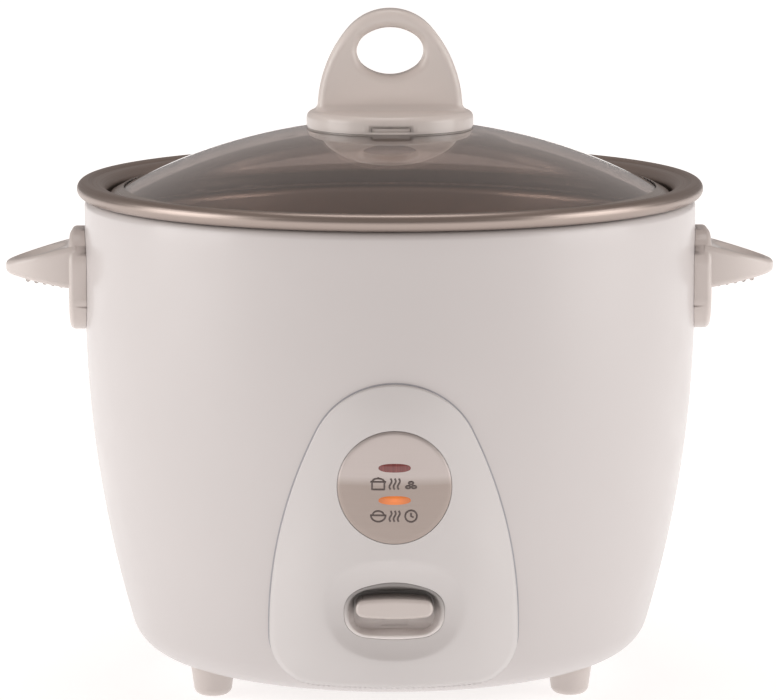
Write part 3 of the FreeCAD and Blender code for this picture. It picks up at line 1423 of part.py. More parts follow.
def check_and_write():
    """Stop at any failed object or bad shape, then write one file for each sub-part."""
    DOC.recompute()
    for item in DOC.Objects:
        if "Invalid" in item.State or "Error" in item.State:
            raise RuntimeError("%s failed: %s" % (item.Label, item.State))
    for item in PIECES:
        if item.Shape.isNull() or not item.Shape.isValid() or not item.Shape.Solids:
            raise RuntimeError("%s has no valid solid" % item.Label)
    os.makedirs("parts", exist_ok=True)
    for item in PIECES:
        item.Shape.exportStep("parts/%s.step" % item.Label)
    print("%d sub-parts written" % len(PIECES))


def main():
    body_envelope()
    make_outer_body()
    make_pan_well()
    make_base()
    make_feet()
    make_handles()
    dish = dish_tool()
    make_front_panel(dish)
    make_bezel(dish)
    make_indicator()
    make_lever()
    make_switch()
    make_heater()
    make_thermostat()
    make_small_parts()
    make_inlet()
    make_leads()
    make_pan()
    make_lid()
    check_and_write()


main()
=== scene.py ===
import sys
import json
import math

import bmesh
import bpy
import numpy as np
from bpy.props import FloatProperty, FloatVectorProperty, PointerProperty
from bpy.types import Operator, Panel, PropertyGroup
from mathutils import Vector
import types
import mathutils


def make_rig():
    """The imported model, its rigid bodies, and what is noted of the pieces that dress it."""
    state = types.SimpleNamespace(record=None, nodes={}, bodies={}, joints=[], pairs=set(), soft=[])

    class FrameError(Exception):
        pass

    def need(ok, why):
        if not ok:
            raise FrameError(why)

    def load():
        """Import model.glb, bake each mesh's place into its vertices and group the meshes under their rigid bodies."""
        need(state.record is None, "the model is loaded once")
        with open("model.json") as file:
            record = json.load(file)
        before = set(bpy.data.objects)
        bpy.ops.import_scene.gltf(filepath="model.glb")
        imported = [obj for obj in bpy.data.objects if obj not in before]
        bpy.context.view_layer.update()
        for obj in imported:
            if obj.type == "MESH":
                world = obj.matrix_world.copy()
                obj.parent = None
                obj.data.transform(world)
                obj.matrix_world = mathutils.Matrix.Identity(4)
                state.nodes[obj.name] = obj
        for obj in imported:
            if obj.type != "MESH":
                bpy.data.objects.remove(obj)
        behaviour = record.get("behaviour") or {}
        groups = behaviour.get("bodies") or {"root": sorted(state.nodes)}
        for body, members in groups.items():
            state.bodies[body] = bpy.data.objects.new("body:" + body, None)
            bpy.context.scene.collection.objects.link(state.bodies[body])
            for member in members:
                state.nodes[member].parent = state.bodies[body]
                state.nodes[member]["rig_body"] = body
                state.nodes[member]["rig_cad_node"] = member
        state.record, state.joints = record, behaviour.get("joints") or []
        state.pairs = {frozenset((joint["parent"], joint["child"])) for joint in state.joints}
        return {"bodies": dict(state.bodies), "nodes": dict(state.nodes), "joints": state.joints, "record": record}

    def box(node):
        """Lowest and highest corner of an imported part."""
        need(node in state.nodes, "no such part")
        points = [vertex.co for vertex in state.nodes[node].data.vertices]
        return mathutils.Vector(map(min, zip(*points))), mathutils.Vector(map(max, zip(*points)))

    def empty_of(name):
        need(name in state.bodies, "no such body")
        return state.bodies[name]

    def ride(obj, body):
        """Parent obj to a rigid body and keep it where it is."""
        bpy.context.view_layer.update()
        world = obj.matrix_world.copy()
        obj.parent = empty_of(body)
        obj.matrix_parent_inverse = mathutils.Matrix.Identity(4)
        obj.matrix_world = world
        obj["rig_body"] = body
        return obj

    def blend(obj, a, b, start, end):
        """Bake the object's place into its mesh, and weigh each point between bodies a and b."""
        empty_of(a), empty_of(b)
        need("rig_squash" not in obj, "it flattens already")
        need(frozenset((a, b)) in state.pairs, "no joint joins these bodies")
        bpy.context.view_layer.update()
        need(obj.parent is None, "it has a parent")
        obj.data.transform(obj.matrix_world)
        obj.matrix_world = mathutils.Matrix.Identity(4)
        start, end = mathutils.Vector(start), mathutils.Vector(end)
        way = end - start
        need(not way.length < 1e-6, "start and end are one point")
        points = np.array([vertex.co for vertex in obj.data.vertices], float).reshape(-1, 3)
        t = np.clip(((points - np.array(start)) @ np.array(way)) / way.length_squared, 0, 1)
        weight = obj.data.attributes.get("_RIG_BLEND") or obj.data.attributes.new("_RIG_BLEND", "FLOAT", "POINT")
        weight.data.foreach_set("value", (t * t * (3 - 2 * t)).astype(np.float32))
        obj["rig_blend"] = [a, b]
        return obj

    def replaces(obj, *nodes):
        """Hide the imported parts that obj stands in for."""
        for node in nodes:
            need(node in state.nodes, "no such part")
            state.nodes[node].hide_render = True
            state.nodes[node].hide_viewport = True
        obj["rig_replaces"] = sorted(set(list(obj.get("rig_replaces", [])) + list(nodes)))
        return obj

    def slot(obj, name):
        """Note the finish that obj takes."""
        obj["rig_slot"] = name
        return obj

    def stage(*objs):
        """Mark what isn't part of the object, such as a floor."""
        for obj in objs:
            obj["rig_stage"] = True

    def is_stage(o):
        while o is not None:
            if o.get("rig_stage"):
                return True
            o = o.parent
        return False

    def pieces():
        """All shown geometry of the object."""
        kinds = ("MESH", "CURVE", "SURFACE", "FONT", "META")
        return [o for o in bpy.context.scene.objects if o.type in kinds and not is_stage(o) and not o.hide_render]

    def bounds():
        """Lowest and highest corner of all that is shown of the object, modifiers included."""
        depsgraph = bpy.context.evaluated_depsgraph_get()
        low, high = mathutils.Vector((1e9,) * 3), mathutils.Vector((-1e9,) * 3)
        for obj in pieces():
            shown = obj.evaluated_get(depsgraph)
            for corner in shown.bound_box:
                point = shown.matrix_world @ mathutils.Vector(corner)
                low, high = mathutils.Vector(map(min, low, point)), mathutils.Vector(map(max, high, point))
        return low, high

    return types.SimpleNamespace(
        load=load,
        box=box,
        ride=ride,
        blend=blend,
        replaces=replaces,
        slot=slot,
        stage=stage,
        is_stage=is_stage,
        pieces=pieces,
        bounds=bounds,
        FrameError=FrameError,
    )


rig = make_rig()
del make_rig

bl_info = {
    "name": "Rice Cooker Dresser",
    "version": (1, 0, 0),
    "blender": (4, 5, 0),
    "location": "View3D > Sidebar > Cooker",
    "description": "Dresses the packed rice cooker with enamel, mouldings, glass and bare metal",
    "category": "Object",
}

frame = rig.load()
MM = 0.001
SHELL_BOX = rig.box("outer_body")
PAN_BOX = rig.box("inner_pan")
GLASS_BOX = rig.box("lid_glass")
PANEL_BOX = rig.box("front_panel")
BEZEL_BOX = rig.box("switch_bezel")
CAD_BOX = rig.bounds()

# Gaps and steps in metres, the dish's tilt in degrees, and the signs' spacing in millimetres
FACE_GAP = 0.05 * MM
QUAD_STEP = 6 * MM
OUTLINE_STEP = 0.2 * MM
BEZEL_POINTS = 144
DISH_TILT = 2.0
DISH_BLUR = 0.5 * MM
SIGN_PITCH = 5.6
SIGN_STEP = 0.25
INK_LIFT, INK_WALL = 0.04 * MM, 0.03 * MM


# Sizes and colours that a user would change

def length(label, words, value):
    return FloatProperty(name=label, description=words, default=value, unit="LENGTH", precision=5)


def mm(label, words, value):
    return length(label, words, value * MM)


def colour(label, words, value):
    return FloatVectorProperty(name=label, description=words, default=value, subtype="COLOR", min=0, max=1)


class ShellSizes(PropertyGroup):
    radius: length("Radius", "Outer radius of the straight upper wall", SHELL_BOX[1].x)
    top: length("Top", "Height of the lip", SHELL_BOX[1].z)
    underside: length("Underside", "Height of the shell's underside", SHELL_BOX[0].z)
    wall: mm("Wall", "Sheet thickness", 1.0)
    taper_start: mm("Taper start", "Height where the wall starts to lean in", 138)
    taper_radius: mm("Taper radius", "Radius of the leaning wall's arc", 420)
    corner: mm("Corner", "Round between the wall and the underside", 15)
    lip_round: mm("Lip round", "Outer round of the lip", 3)
    lip_width: mm("Lip width", "How far the lip turns in", 5.5)
    opening: mm("Opening", "Radius of the hole in the underside", 60)


class PanelSizes(PropertyGroup):
    rise: mm("Rise", "How far the face stands out of the shell's straight wall", 2.6)
    belly: mm("Belly", "Height of the face's furthest point", 110)
    foot: mm("Foot", "How far the face stands out of the shell at its lowest point", 17)
    axis: mm("Axis", "How far the face's own upright axis stands in front of the shell's", 43.6)
    half_width: length("Half width", "Half of the width at the shoulder", PANEL_BOX[1].x)
    crown: mm("Crown", "Radius of the round top", 29.5)
    shoulder: mm("Shoulder", "Height where the sides start to lean in", 36)
    top: length("Top", "Highest point", PANEL_BOX[1].z)
    bottom: length("Bottom", "Lowest point", PANEL_BOX[0].z)
    corner: mm("Corner", "Round of the two lower corners", 15)
    edge: mm("Edge", "Round of the front edge", 2.4)
    fall_width: mm("Fall width", "Width of the strip where the face falls away to its edge", 18)
    seam: mm("Seam", "Gap round the silver plate", 0.2)
    # painted shadow: width of the dark strip that stands in for the shade round the panel
    line: mm("Line", "Width of the dark line round the panel", 0.5)
    mouth_half: mm("Mouth half width", "Half width of the bezel's mouth", 18.2)
    mouth_tall: mm("Mouth half height", "Half height of the bezel's mouth", 10.6)
    mouth_round: mm("Mouth round", "Corner round of the bezel's mouth", 7.5)
    throat_half: mm("Throat half width", "Half width of the bezel's narrow end", 14.9)
    throat_tall: mm("Throat half height", "Half height of the bezel's narrow end", 7.6)
    throat_round: mm("Throat round", "Corner round of the bezel's narrow end", 5)
    throat_drop: mm("Throat drop", "How far the narrow end lies below the mouth", 1.65)
    mouth_depth: mm("Mouth depth", "Depth of the mouth behind the face", 1.5)
    bezel_wall: mm("Bezel wall", "Wall of the bezel", 1.2)
    bezel_floor: mm("Bezel floor", "Thickness of the bezel's floor", 0.5)
    slot_half: mm("Slot half width", "Half width of the lever's slot in the bezel", 4.6)
    slot_low: mm("Slot low", "Lower end of the lever's slot", 38.7)
    slot_high: mm("Slot high", "Upper end of the lever's slot", 49.9)
    pivot_back: mm("Pivot", "How far the lever's pin stands in front of the axis", 45)
    pivot_height: mm("Pivot height", "Height of the lever's pin", 40)
    throat_depth: mm("Throat depth", "Depth of the narrow end behind the face", 13.5)
    dish_height: mm("Dish height", "Height of the dish's middle", 46)
    dish_depth: mm("Dish depth", "Depth of the dish at its middle", 5)
    dish_across: mm("Dish across", "Half axis of the dish from side to side", 60)
    dish_through: mm("Dish through", "Half axis of the dish from front to back", 7.2)
    dish_tall: mm("Dish tall", "Half axis of the dish upwards", 18.3)
    disc_radius: mm("Disc radius", "Radius of the silver plate", 19.5)
    disc_height: mm("Disc height", "Height of the plate's middle", 89.7)
    disc_proud: mm("Disc proud", "How far the plate stands out of the face", 0.15)
    cook_height: mm("Cook window height", "Height of the upper window", 96.6)
    warm_height: mm("Warm window height", "Height of the lower window", 85.4)
    window_half: mm("Window half length", "Half length of a window", 6)
    window_tall: mm("Window half height", "Half height of a window", 1.65)
    stroke: mm("Stroke", "Width of the printed lines", 0.62)
    sign_drop: mm("Sign drop", "How far a row of signs lies below its window", 5.5)
    # painted reflection: height where the plate's reflected tone changes
    split_height: mm("Split height", "Height where the plate's tone changes", 91.9)


class PanSizes(PropertyGroup):
    wall: mm("Wall", "Sheet thickness of the pan", 1.5)
    underside: length("Underside", "Height of the pan's underside", PAN_BOX[0].z)
    inner: mm("Inner radius", "Radius of the pan's straight wall", 97)
    recess: mm("Recess radius", "Radius of the recess that the lid sits in", 103)
    ledge: mm("Ledge", "Height of the ledge under the lid", 171.5)
    bead: mm("Bead", "Radius of the rolled rim", 3)
    bead_drop: mm("Bead drop", "How far the flange lies below the bead's top", 1)
    corner: mm("Corner", "Inner round at the floor", 14)


class LidSizes(PropertyGroup):
    curve: mm("Curve", "Radius of the glass's outer sphere", 207)
    thickness: mm("Thickness", "Glass thickness", 4)
    edge: length("Edge radius", "Radius of the glass", GLASS_BOX[1].x)
    hole: mm("Hole", "Radius of the hole for the knob's screw", 2.4)
    seal_gap: mm("Seal gap", "Height of the knob's base above the glass", 0.9)
    seal_outer: mm("Seal", "Radius of the seal under the knob", 20.4)
    knob_radius: mm("Knob radius", "Radius of the knob's base", 30.3)
    notch_half: mm("Notch half width", "Half width of the steam notch", 6.8)
    notch_tall: mm("Notch height", "Height of the steam notch above the base's edge", 1.35)


class Colours(PropertyGroup):
    enamel: colour("Enamel", "White paint of the shell", (0.625, 0.592, 0.586))
    moulding: colour("Moulding", "White plastic of the front panel", (0.655, 0.628, 0.622))
    grip: colour("Grips", "Warmer white plastic of the handles, the feet and the bar", (0.65, 0.59, 0.56))
    knob: colour("Knob", "White plastic of the lid's knob", (0.79, 0.72, 0.68))
    bezel: colour("Bezel", "Grey plastic of the funnel", (0.50, 0.475, 0.465))
    aluminium: colour("Aluminium", "Drawn rim, liner and castings", (0.375, 0.315, 0.285))
    # painted light: a much lighter tone of the same aluminium, standing in for light inside the pan
    pan_inside: colour("Pan, inside", "Bare wall and floor inside the pan", (0.97, 0.855, 0.79))
    glass: colour("Glass", "Tint of the lid", (0.57, 0.50, 0.47))
    steel: colour("Steel", "Band, screws and brackets", (0.60, 0.56, 0.53))
    # painted reflection: the plate's lighter upper tone and darker lower tone stand in for what its metal reflects
    silver: colour("Silver", "Upper part of the round plate", (0.54, 0.485, 0.465))
    silver_low: colour("Silver, lower", "Lower part of the round plate", (0.39, 0.33, 0.30))
    red: colour("Red window", "Unlit red window", (0.20, 0.045, 0.042))
    amber: colour("Amber window", "Lit amber window", (0.60, 0.16, 0.032))
    # painted shadow: the dark line stands in for the shade at the joint round the panel
    seam: colour("Seam", "Line round the front panel", (0.40, 0.395, 0.425))
    print: colour("Print", "Printed signs", (0.085, 0.065, 0.06))
    black: colour("Black", "Inlet and switch cases", (0.018, 0.018, 0.018))
    brass: colour("Brass", "Pins and tabs", (0.62, 0.47, 0.22))
    floor: colour("Floor", "Floor of the stage", (0.50, 0.495, 0.49))
    low_sky: colour("Sky, low", "Studio near the floor", (0.30, 0.28, 0.272))
    high_sky: colour("Sky, high", "Studio overhead", (0.34, 0.295, 0.275))


GROUPS = {"cooker_shell": ShellSizes, "cooker_panel": PanelSizes, "cooker_pan": PanSizes,
          "cooker_lid": LidSizes, "cooker_colours": Colours}


def sizes(name):
    return getattr(bpy.context.scene, "cooker_" + name)


# Curves and grids

def arc(centre, radius, start, end, count=24):
    """Circle: centre + radius (cos a, sin a) for a from start to end, in degrees."""
    turn = np.radians(np.linspace(start, end, count))
    return np.column_stack((centre[0] + radius * np.cos(turn), centre[1] + radius * np.sin(turn)))


def rounded(corners, count=10):
    """Polyline through (x, y, round) corners; each round is the arc tangent to both its sides."""
    path = []
    for before, here, after in zip(corners, corners[1:], corners[2:]):
        point = np.array(here[:2])
        radius = here[2]
        back = np.array(before[:2]) - point
        ahead = np.array(after[:2]) - point
        back, ahead = back / np.linalg.norm(back), ahead / np.linalg.norm(ahead)
        half = math.acos(np.clip(back @ ahead, -1, 1)) / 2
        middle = back + ahead
        centre = point + middle / np.linalg.norm(middle) * radius / math.sin(half)
        start = point + back * radius / math.tan(half) - centre
        end = point + ahead * radius / math.tan(half) - centre
        share = np.linspace(0, 1, count)[:, None]
        blend = start * (1 - share) + end * share
        path.append(centre + blend / np.linalg.norm(blend, axis=1)[:, None] * radius)
    return np.vstack([np.array([corners[0][:2]]), *path, np.array([corners[-1][:2]])])


def finer(path, step):
    """The same path with long straight runs divided, so that quads stay near square."""
    gaps = np.linalg.norm(np.diff(path, axis=0), axis=1)
    counts = np.maximum(np.ceil(gaps / step).astype(int), 1)
    runs = [np.linspace(i, i + 1, n, endpoint=False) for i, n in enumerate(counts)]
    along = np.concatenate(runs + [[len(gaps)]])
    index = np.arange(len(path))
    return np.column_stack([np.interp(along, index, path[:, axis]) for axis in (0, 1)])


def turned(path, count=192):
    """Surface of revolution: (r cos t, r sin t, z) for each (r, z) of the path."""
    turn = np.linspace(0, 2 * math.pi, count, endpoint=False)
    r, z = path[:, 0, None], path[:, 1, None]
    return points(r * np.cos(turn), r * np.sin(turn), z)


def quads(rows, columns, wrap_rows, wrap_columns):
    """Corner indices of the quads of a grid, which may close on itself either way."""
    i = np.arange(rows if wrap_rows else rows - 1)[:, None]
    j = np.arange(columns if wrap_columns else columns - 1)[None]
    k, m = (i + 1) % rows, (j + 1) % columns
    corners = [i * columns + j, i * columns + m, k * columns + m, k * columns + j]
    return np.stack(np.broadcast_arrays(*corners), axis=2).reshape(-1, 4)


def points(x, y, z):
    """Grid of points from their coordinates, each spread over the whole grid."""
    return np.stack(np.broadcast_arrays(x, y, z), axis=-1)


def grid_mesh(name, grids, wrap):
    """Mesh from grids of points, whose rows and columns may close on themselves."""
    places, faces, start = [], [], 0
    for grid in grids:
        places.append(grid.reshape(-1, 3))
        faces.append(quads(*grid.shape[:2], *wrap) + start)
        start += len(places[-1])
    mesh = bpy.data.meshes.new(name)
    mesh.from_pydata(np.vstack(places), [], np.vstack(faces))
    return mesh


def placed(name, data):
    """Object of some data, linked into the scene."""
    made = bpy.data.objects.new(name, data)
    bpy.context.scene.collection.objects.link(made)
    return made


def piece(name, grids, look, slot, body, replaced=(), sharp=35, wrap=(False, True)):
    """Dressed object from grids of points."""
    return dressed(name, grid_mesh(name, grids, wrap), look, slot, body, replaced, sharp)


def clean(mesh):
    """Merge doubles, drop empty faces and turn every face outwards."""
    work = bmesh.new()
    work.from_mesh(mesh)
    bmesh.ops.remove_doubles(work, verts=work.verts, dist=1e-6)
    bmesh.ops.dissolve_degenerate(work, edges=work.edges, dist=1e-7)
    bmesh.ops.recalc_face_normals(work, faces=work.faces)
    work.to_mesh(mesh)
    work.free()


def dressed(name, mesh, look, slot, body, replaced, sharp):
    """Object of a cleaned mesh, smooth but for sharp edges, with its finish, body, slot and nodes."""
    clean(mesh)
    mesh.shade_smooth()
    mesh.set_sharp_from_angle(angle=math.radians(sharp))
    mesh.materials.clear()
    mesh.materials.append(finish(look))
    made = placed(name, mesh)
    if body:
        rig.ride(made, body)
    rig.slot(made, slot)
    if replaced:
        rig.replaces(made, *replaced)
    return made


def node_slot(node):
    return next(p["material_slot"] for p in frame["record"]["subparts"] if p["node"] == node)


def smoothed(node, name, look):
    """Copy of a node's mesh with its triangles merged, shaded smooth and flat faces kept flat."""
    mesh = frame["nodes"][node].data.copy()
    mesh.name = name
    made = dressed(name, mesh, look, node_slot(node), frame["nodes"][node]["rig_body"], (node,), sharp=30)
    weight = made.modifiers.new("flat faces", "WEIGHTED_NORMAL")
    weight.keep_sharp = True
    return made


def coat_nodes(look, *nodes):
    """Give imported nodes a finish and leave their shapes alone."""
    for node in nodes:
        mesh = frame["nodes"][node].data
        mesh.materials.clear()
        mesh.materials.append(finish(look))


# Finishes

class Finish:
    """A node material that is put together from a principled shader and patterns on Object coordinates."""

    def __init__(self, name, **sockets):
        self.material = bpy.data.materials.new(name)
        self.material.use_nodes = True
        self.nodes = self.material.node_tree.nodes
        self.links = self.material.node_tree.links
        self.shader = next(n for n in self.nodes if n.type == "BSDF_PRINCIPLED")
        for label, value in sockets.items():
            socket = self.shader.inputs[label.replace("_", " ")]
            socket.default_value = (*value, 1) if socket.type == "RGBA" else value

    def add(self, kind, **settings):
        node = self.nodes.new("ShaderNode" + kind)
        for label, value in settings.items():
            setattr(node, label, value)
        return node

    def join(self, source, target):
        self.links.new(source, target)
        return self

    def where(self, stretch=(1, 1, 1), shift=(0, 0, 0)):
        """Object coordinates, stretched and shifted."""
        place = self.add("TexCoord")
        mapping = self.add("Mapping")
        mapping.inputs["Scale"].default_value = stretch
        mapping.inputs["Location"].default_value = shift
        self.join(place.outputs["Object"], mapping.inputs["Vector"])
        return mapping.outputs["Vector"]

    def part(self, place, axis):
        """One coordinate of a place."""
        split = self.add("SeparateXYZ")
        self.join(place, split.inputs[0])
        return split.outputs[axis]

    def distance(self, place):
        """Distance of a place from its origin."""
        node = self.add("VectorMath", operation="LENGTH")
        self.join(place, node.inputs[0])
        return node.outputs["Value"]

    def round_axis(self):
        """Coordinates that run along the radius and the height, so that a pattern goes round the axis."""
        result = self.add("CombineXYZ")
        self.join(self.distance(self.where((1, 1, 0))), result.inputs["X"])
        self.join(self.part(self.where(), "Z"), result.inputs["Z"])
        return result.outputs[0]

    def noise(self, place, scale, detail=3.0):
        node = self.add("TexNoise")
        node.inputs["Scale"].default_value = scale
        node.inputs["Detail"].default_value = detail
        self.join(place, node.inputs["Vector"])
        return node.outputs["Fac"]

    def spread(self, value, low, high, start=0.3, end=0.7):
        node = self.add("MapRange")
        for label, amount in (("From Min", start), ("From Max", end), ("To Min", low), ("To Max", high)):
            node.inputs[label].default_value = amount
        self.join(value, node.inputs["Value"])
        return node.outputs["Result"]

    def tint(self, value, first, second, socket="Base Color"):
        """Mix of two tones by a value, into one of the shader's colours."""
        node = self.add("Mix", data_type="RGBA")
        node.inputs[6].default_value = (*first, 1)
        node.inputs[7].default_value = (*second, 1)
        self.join(value, node.inputs[0])
        return self.join(node.outputs[2], self.shader.inputs[socket])

    def rough(self, value, low, high):
        return self.join(self.spread(value, low, high), self.shader.inputs["Roughness"])

    def relief(self, value, depth, strength):
        node = self.add("Bump")
        node.inputs["Strength"].default_value = strength
        node.inputs["Distance"].default_value = depth
        self.join(value, node.inputs["Height"])
        return self.join(node.outputs["Normal"], self.shader.inputs["Normal"])


def shade(tone, factor):
    return tuple(min(1.0, part * factor) for part in tone)


def span(tone, low, high):
    return shade(tone, low), shade(tone, high)


FINISHES = {}


def finish(name):
    """Each finish is made once, by the function of its name."""
    if name not in FINISHES:
        FINISHES[name] = globals()[name](sizes("colours"))
    return FINISHES[name]


def grained(name, tones, blotch, gloss=None, grain=None, **sockets):
    """Finish whose tone, gloss (scale, low, high) and relief (scale, detail, mm, strength) follow noise."""
    f = Finish(name, **sockets)
    f.tint(f.spread(f.noise(f.where(), blotch), 0, 1), *tones)
    if gloss:
        f.rough(f.noise(f.where(), gloss[0]), *gloss[1:])
    if grain:
        scale, detail, depth, strength = grain
        f.relief(f.noise(f.where(), scale, detail), depth * MM, strength)
    return f.material


def lined(f, scale, gloss, depth, strength):
    """Fine lines round the axis that carry a metal's gloss and its relief in millimetres."""
    lines = f.noise(f.round_axis(), scale, 2)
    f.rough(lines, *gloss)
    return f.relief(lines, depth * MM, strength).material


def cloudy(name, tones, blotch, roughness):
    """Bare metal whose tone follows noise."""
    f = Finish(name, Metallic=1.0, Roughness=roughness)
    return f.tint(f.spread(f.noise(f.where(), blotch), 0, 1), *tones)


def enamel(c):
    """Glossy paint with faint orange peel."""
    return grained("enamel", span(c.enamel, 0.985, 1.01), 14, (60, 0.32, 0.42), (420, 2, 0.02, 0.35),
                   Roughness=0.36, Coat_Weight=0.3, Coat_Roughness=0.12)


def plastic(name, tone):
    """Glossy moulded plastic with a fine skin."""
    return grained(name, span(tone, 0.98, 1.01), 25, (90, 0.30, 0.38), (2200, 2, 0.01, 0.5),
                   Roughness=0.34, Coat_Weight=0.35, Coat_Roughness=0.1)


def moulding(c):
    """White plastic of the front panel."""
    return plastic("moulding", c.moulding)


def grip_plastic(c):
    """The same plastic, a little warmer, for what the hand holds."""
    return plastic("grip_plastic", c.grip)


def knob_plastic(c):
    """The same plastic, whiter, for the lid's knob."""
    return plastic("knob_plastic", c.knob)


def seam_grey(c):
    """Painted shadow: a dark strip laid on the shell where the gap between the panel and the shell is shaded."""
    return grained("seam_grey", span(c.seam, 0.95, 1.05), 200, Roughness=0.7)


# Scale, detail, depth in millimetres and strength of the grain on grey plastic
MATT_GRAIN = (3200, 2, 0.02, 0.6)


def bezel_grey(c):
    """Matt grey plastic with a spark-eroded grain."""
    return grained("bezel_grey", span(c.bezel, 0.94, 1.05), 60, (300, 0.48, 0.6), MATT_GRAIN, Roughness=0.55)


def funnel_grey(c):
    """The same grey with painted light: lighter on its lower wall and darker on its upper wall, where the light falls
    from above.
    """
    low, high = 40 * MM, 51 * MM
    scale, detail, depth, strength = MATT_GRAIN
    f = Finish("funnel_grey", Roughness=0.5)
    # painted light: the tone runs from light at the low height to dark at the high height, standing in for light on
    # the lower wall
    f.tint(f.spread(f.part(f.where(), "Z"), 0, 1, low, high), *span(c.bezel, 1.75, 0.6))
    f.rough(f.noise(f.where(), 300), 0.42, 0.55)
    return f.relief(f.noise(f.where(), scale, detail), depth * MM, strength).material


def dark_plastic(c):
    """Matt black plastic."""
    return grained("dark_plastic", span(c.black, 0.8, 1.3), 80, (300, 0.42, 0.58), (2600, 2, 0.02, 0.6),
                   Roughness=0.5)


def spun_aluminium(c):
    """Drawn aluminium with fine lines and a cloudy sheen."""
    f = cloudy("spun_aluminium", span(c.aluminium, 0.92, 1.06), 30, 0.3)
    return lined(f, 2600, (0.24, 0.38), 0.01, 0.5)


def pan_aluminium(c):
    """Drawn pan with fine lines and painted light: bright and satin inside the ledge, darker on the rim, one metal in
    two tones.
    """
    inner = sizes("pan").inner
    start, end = inner + 0.5 * MM, inner + 2 * MM
    f = Finish("pan_aluminium", Metallic=1.0, Roughness=0.35)
    # painted light: the tone steps from the lit inside tone to the rim's tone just outside the pan's inner radius
    f.tint(f.spread(f.part(f.round_axis(), "X"), 0, 1, start, end), c.pan_inside, c.aluminium)
    return lined(f, 2600, (0.3, 0.44), 0.01, 0.5)


def cast_aluminium(c):
    """Cast and turned aluminium with coarser tool lines."""
    f = cloudy("cast_aluminium", span(c.aluminium, 0.9, 1.15), 90, 0.42)
    return lined(f, 900, (0.34, 0.5), 0.05, 0.6)


def band_steel(c):
    """Bright rolled steel with hair lines."""
    f = cloudy("band_steel", span(c.steel, 0.95, 1.08), 40, 0.2)
    return lined(f, 3500, (0.16, 0.28), 0.006, 0.4)


def plated_steel(c):
    """Zinc plated sheet and screws with a mottled bloom."""
    return grained("plated_steel", span(c.steel, 0.78, 1.02), 160, (260, 0.28, 0.46), (900, 3, 0.01, 0.4),
                   Metallic=1.0, Roughness=0.35)


def satin_silver(c):
    """Satin plate with level hair lines and a painted reflection: lighter above a level line, darker and warmer below
    it.
    """
    middle, blur = sizes("panel").split_height, 1.6 * MM
    f = Finish("satin_silver", Metallic=0.85, Roughness=0.36)
    # painted reflection: the tone steps at a fixed height, lighter above and darker below
    step = f.spread(f.part(f.where(), "Z"), 0, 1, middle - blur, middle + blur)
    f.tint(step, c.silver_low, c.silver)
    lines = f.noise(f.where((60, 60, 5200)), 1, 2)
    f.rough(lines, 0.3, 0.42)
    return f.relief(lines, 0.006 * MM, 0.5).material


def red_window(c):
    """Unlit clear red plastic with fine upright ribs."""
    f = Finish("red_window", Roughness=0.18, Coat_Weight=0.6, Coat_Roughness=0.05)
    ribs = f.noise(f.where((2400, 1, 1)), 1, 1)
    f.tint(f.spread(ribs, 0, 1), *span(c.red, 0.8, 1.25))
    return f.relief(ribs, 0.03 * MM, 0.4).material


def amber_window(c):
    """Lit amber plastic, brightest at its middle."""
    panel = sizes("panel")
    f = Finish("amber_window", Roughness=0.2, Coat_Weight=0.5, Coat_Roughness=0.05, Emission_Strength=0.42)
    flatten, core, rim = 0.5, 0.1, 1.0
    place = f.where((1 / panel.window_half, 0, flatten / panel.window_tall),
                    (0, 0, -flatten * panel.warm_height / panel.window_tall))
    near = f.spread(f.distance(place), 1, 0, core, rim)
    f.tint(near, *span(c.amber, 0.75, 1.1))
    return f.tint(near, *span(c.amber, 0.5, 1.2), "Emission Color").material


def lid_pane(c):
    """Tinted tempered glass with a faint film that varies its gloss."""
    f = Finish("lid_pane", Base_Color=c.glass, Roughness=0.0, IOR=1.5, Transmission_Weight=1.0,
               Coat_Weight=1.0, Coat_Roughness=0.0, Coat_IOR=1.6)
    return f.rough(f.noise(f.where(), 35), 0.0, 0.015).material


def lamp_glass(c):
    """Small clear lamp with a warm body."""
    return grained("lamp_glass", ((0.8, 0.6, 0.4), (0.95, 0.85, 0.7)), 400, Roughness=0.1,
                   Transmission_Weight=0.4)


def seal_rubber(c):
    """Milky silicone."""
    return grained("seal_rubber", ((0.52, 0.50, 0.48), (0.62, 0.60, 0.57)), 200, None, (2000, 2, 0.02, 0.5),
                   Roughness=0.6)


def board_green(c):
    """Matt green laminate with a weave."""
    f = Finish("board_green", Roughness=0.6)
    f.tint(f.spread(f.noise(f.where((900, 900, 900)), 1), 0, 1), (0.015, 0.06, 0.02), (0.03, 0.10, 0.035))
    return f.relief(f.noise(f.where((1800, 1, 1800)), 1), 0.02 * MM, 0.5).material


def ferrite_grey(c):
    """Dull pressed ferrite with a sandy grain."""
    return grained("ferrite_grey", ((0.025, 0.024, 0.024), (0.06, 0.057, 0.055)), 900, None,
                   (2500, 3, 0.05, 0.7), Roughness=0.75)


def brass_bright(c):
    """Rolled brass with faint scratches."""
    f = Finish("brass_bright", Metallic=1.0, Roughness=0.25)
    scratches = f.noise(f.where((500, 60, 2500)), 1)
    f.tint(f.spread(scratches, 0, 1), *span(c.brass, 0.85, 1.1))
    return f.rough(scratches, 0.18, 0.34).material


def woven_sleeve(c):
    """Glass sleeve on the leads, with a tight weave."""
    f = Finish("woven_sleeve", Roughness=0.8)
    weave = f.noise(f.where(), 1800, 1)
    f.tint(f.spread(weave, 0, 1), (0.36, 0.34, 0.30), (0.62, 0.60, 0.55))
    return f.relief(weave, 0.1 * MM, 0.8).material


def sign_print(c):
    """Printed dark grey ink, slightly worn."""
    return grained("sign_print", span(c.print, 1, 1.5), 1500, Roughness=0.5)


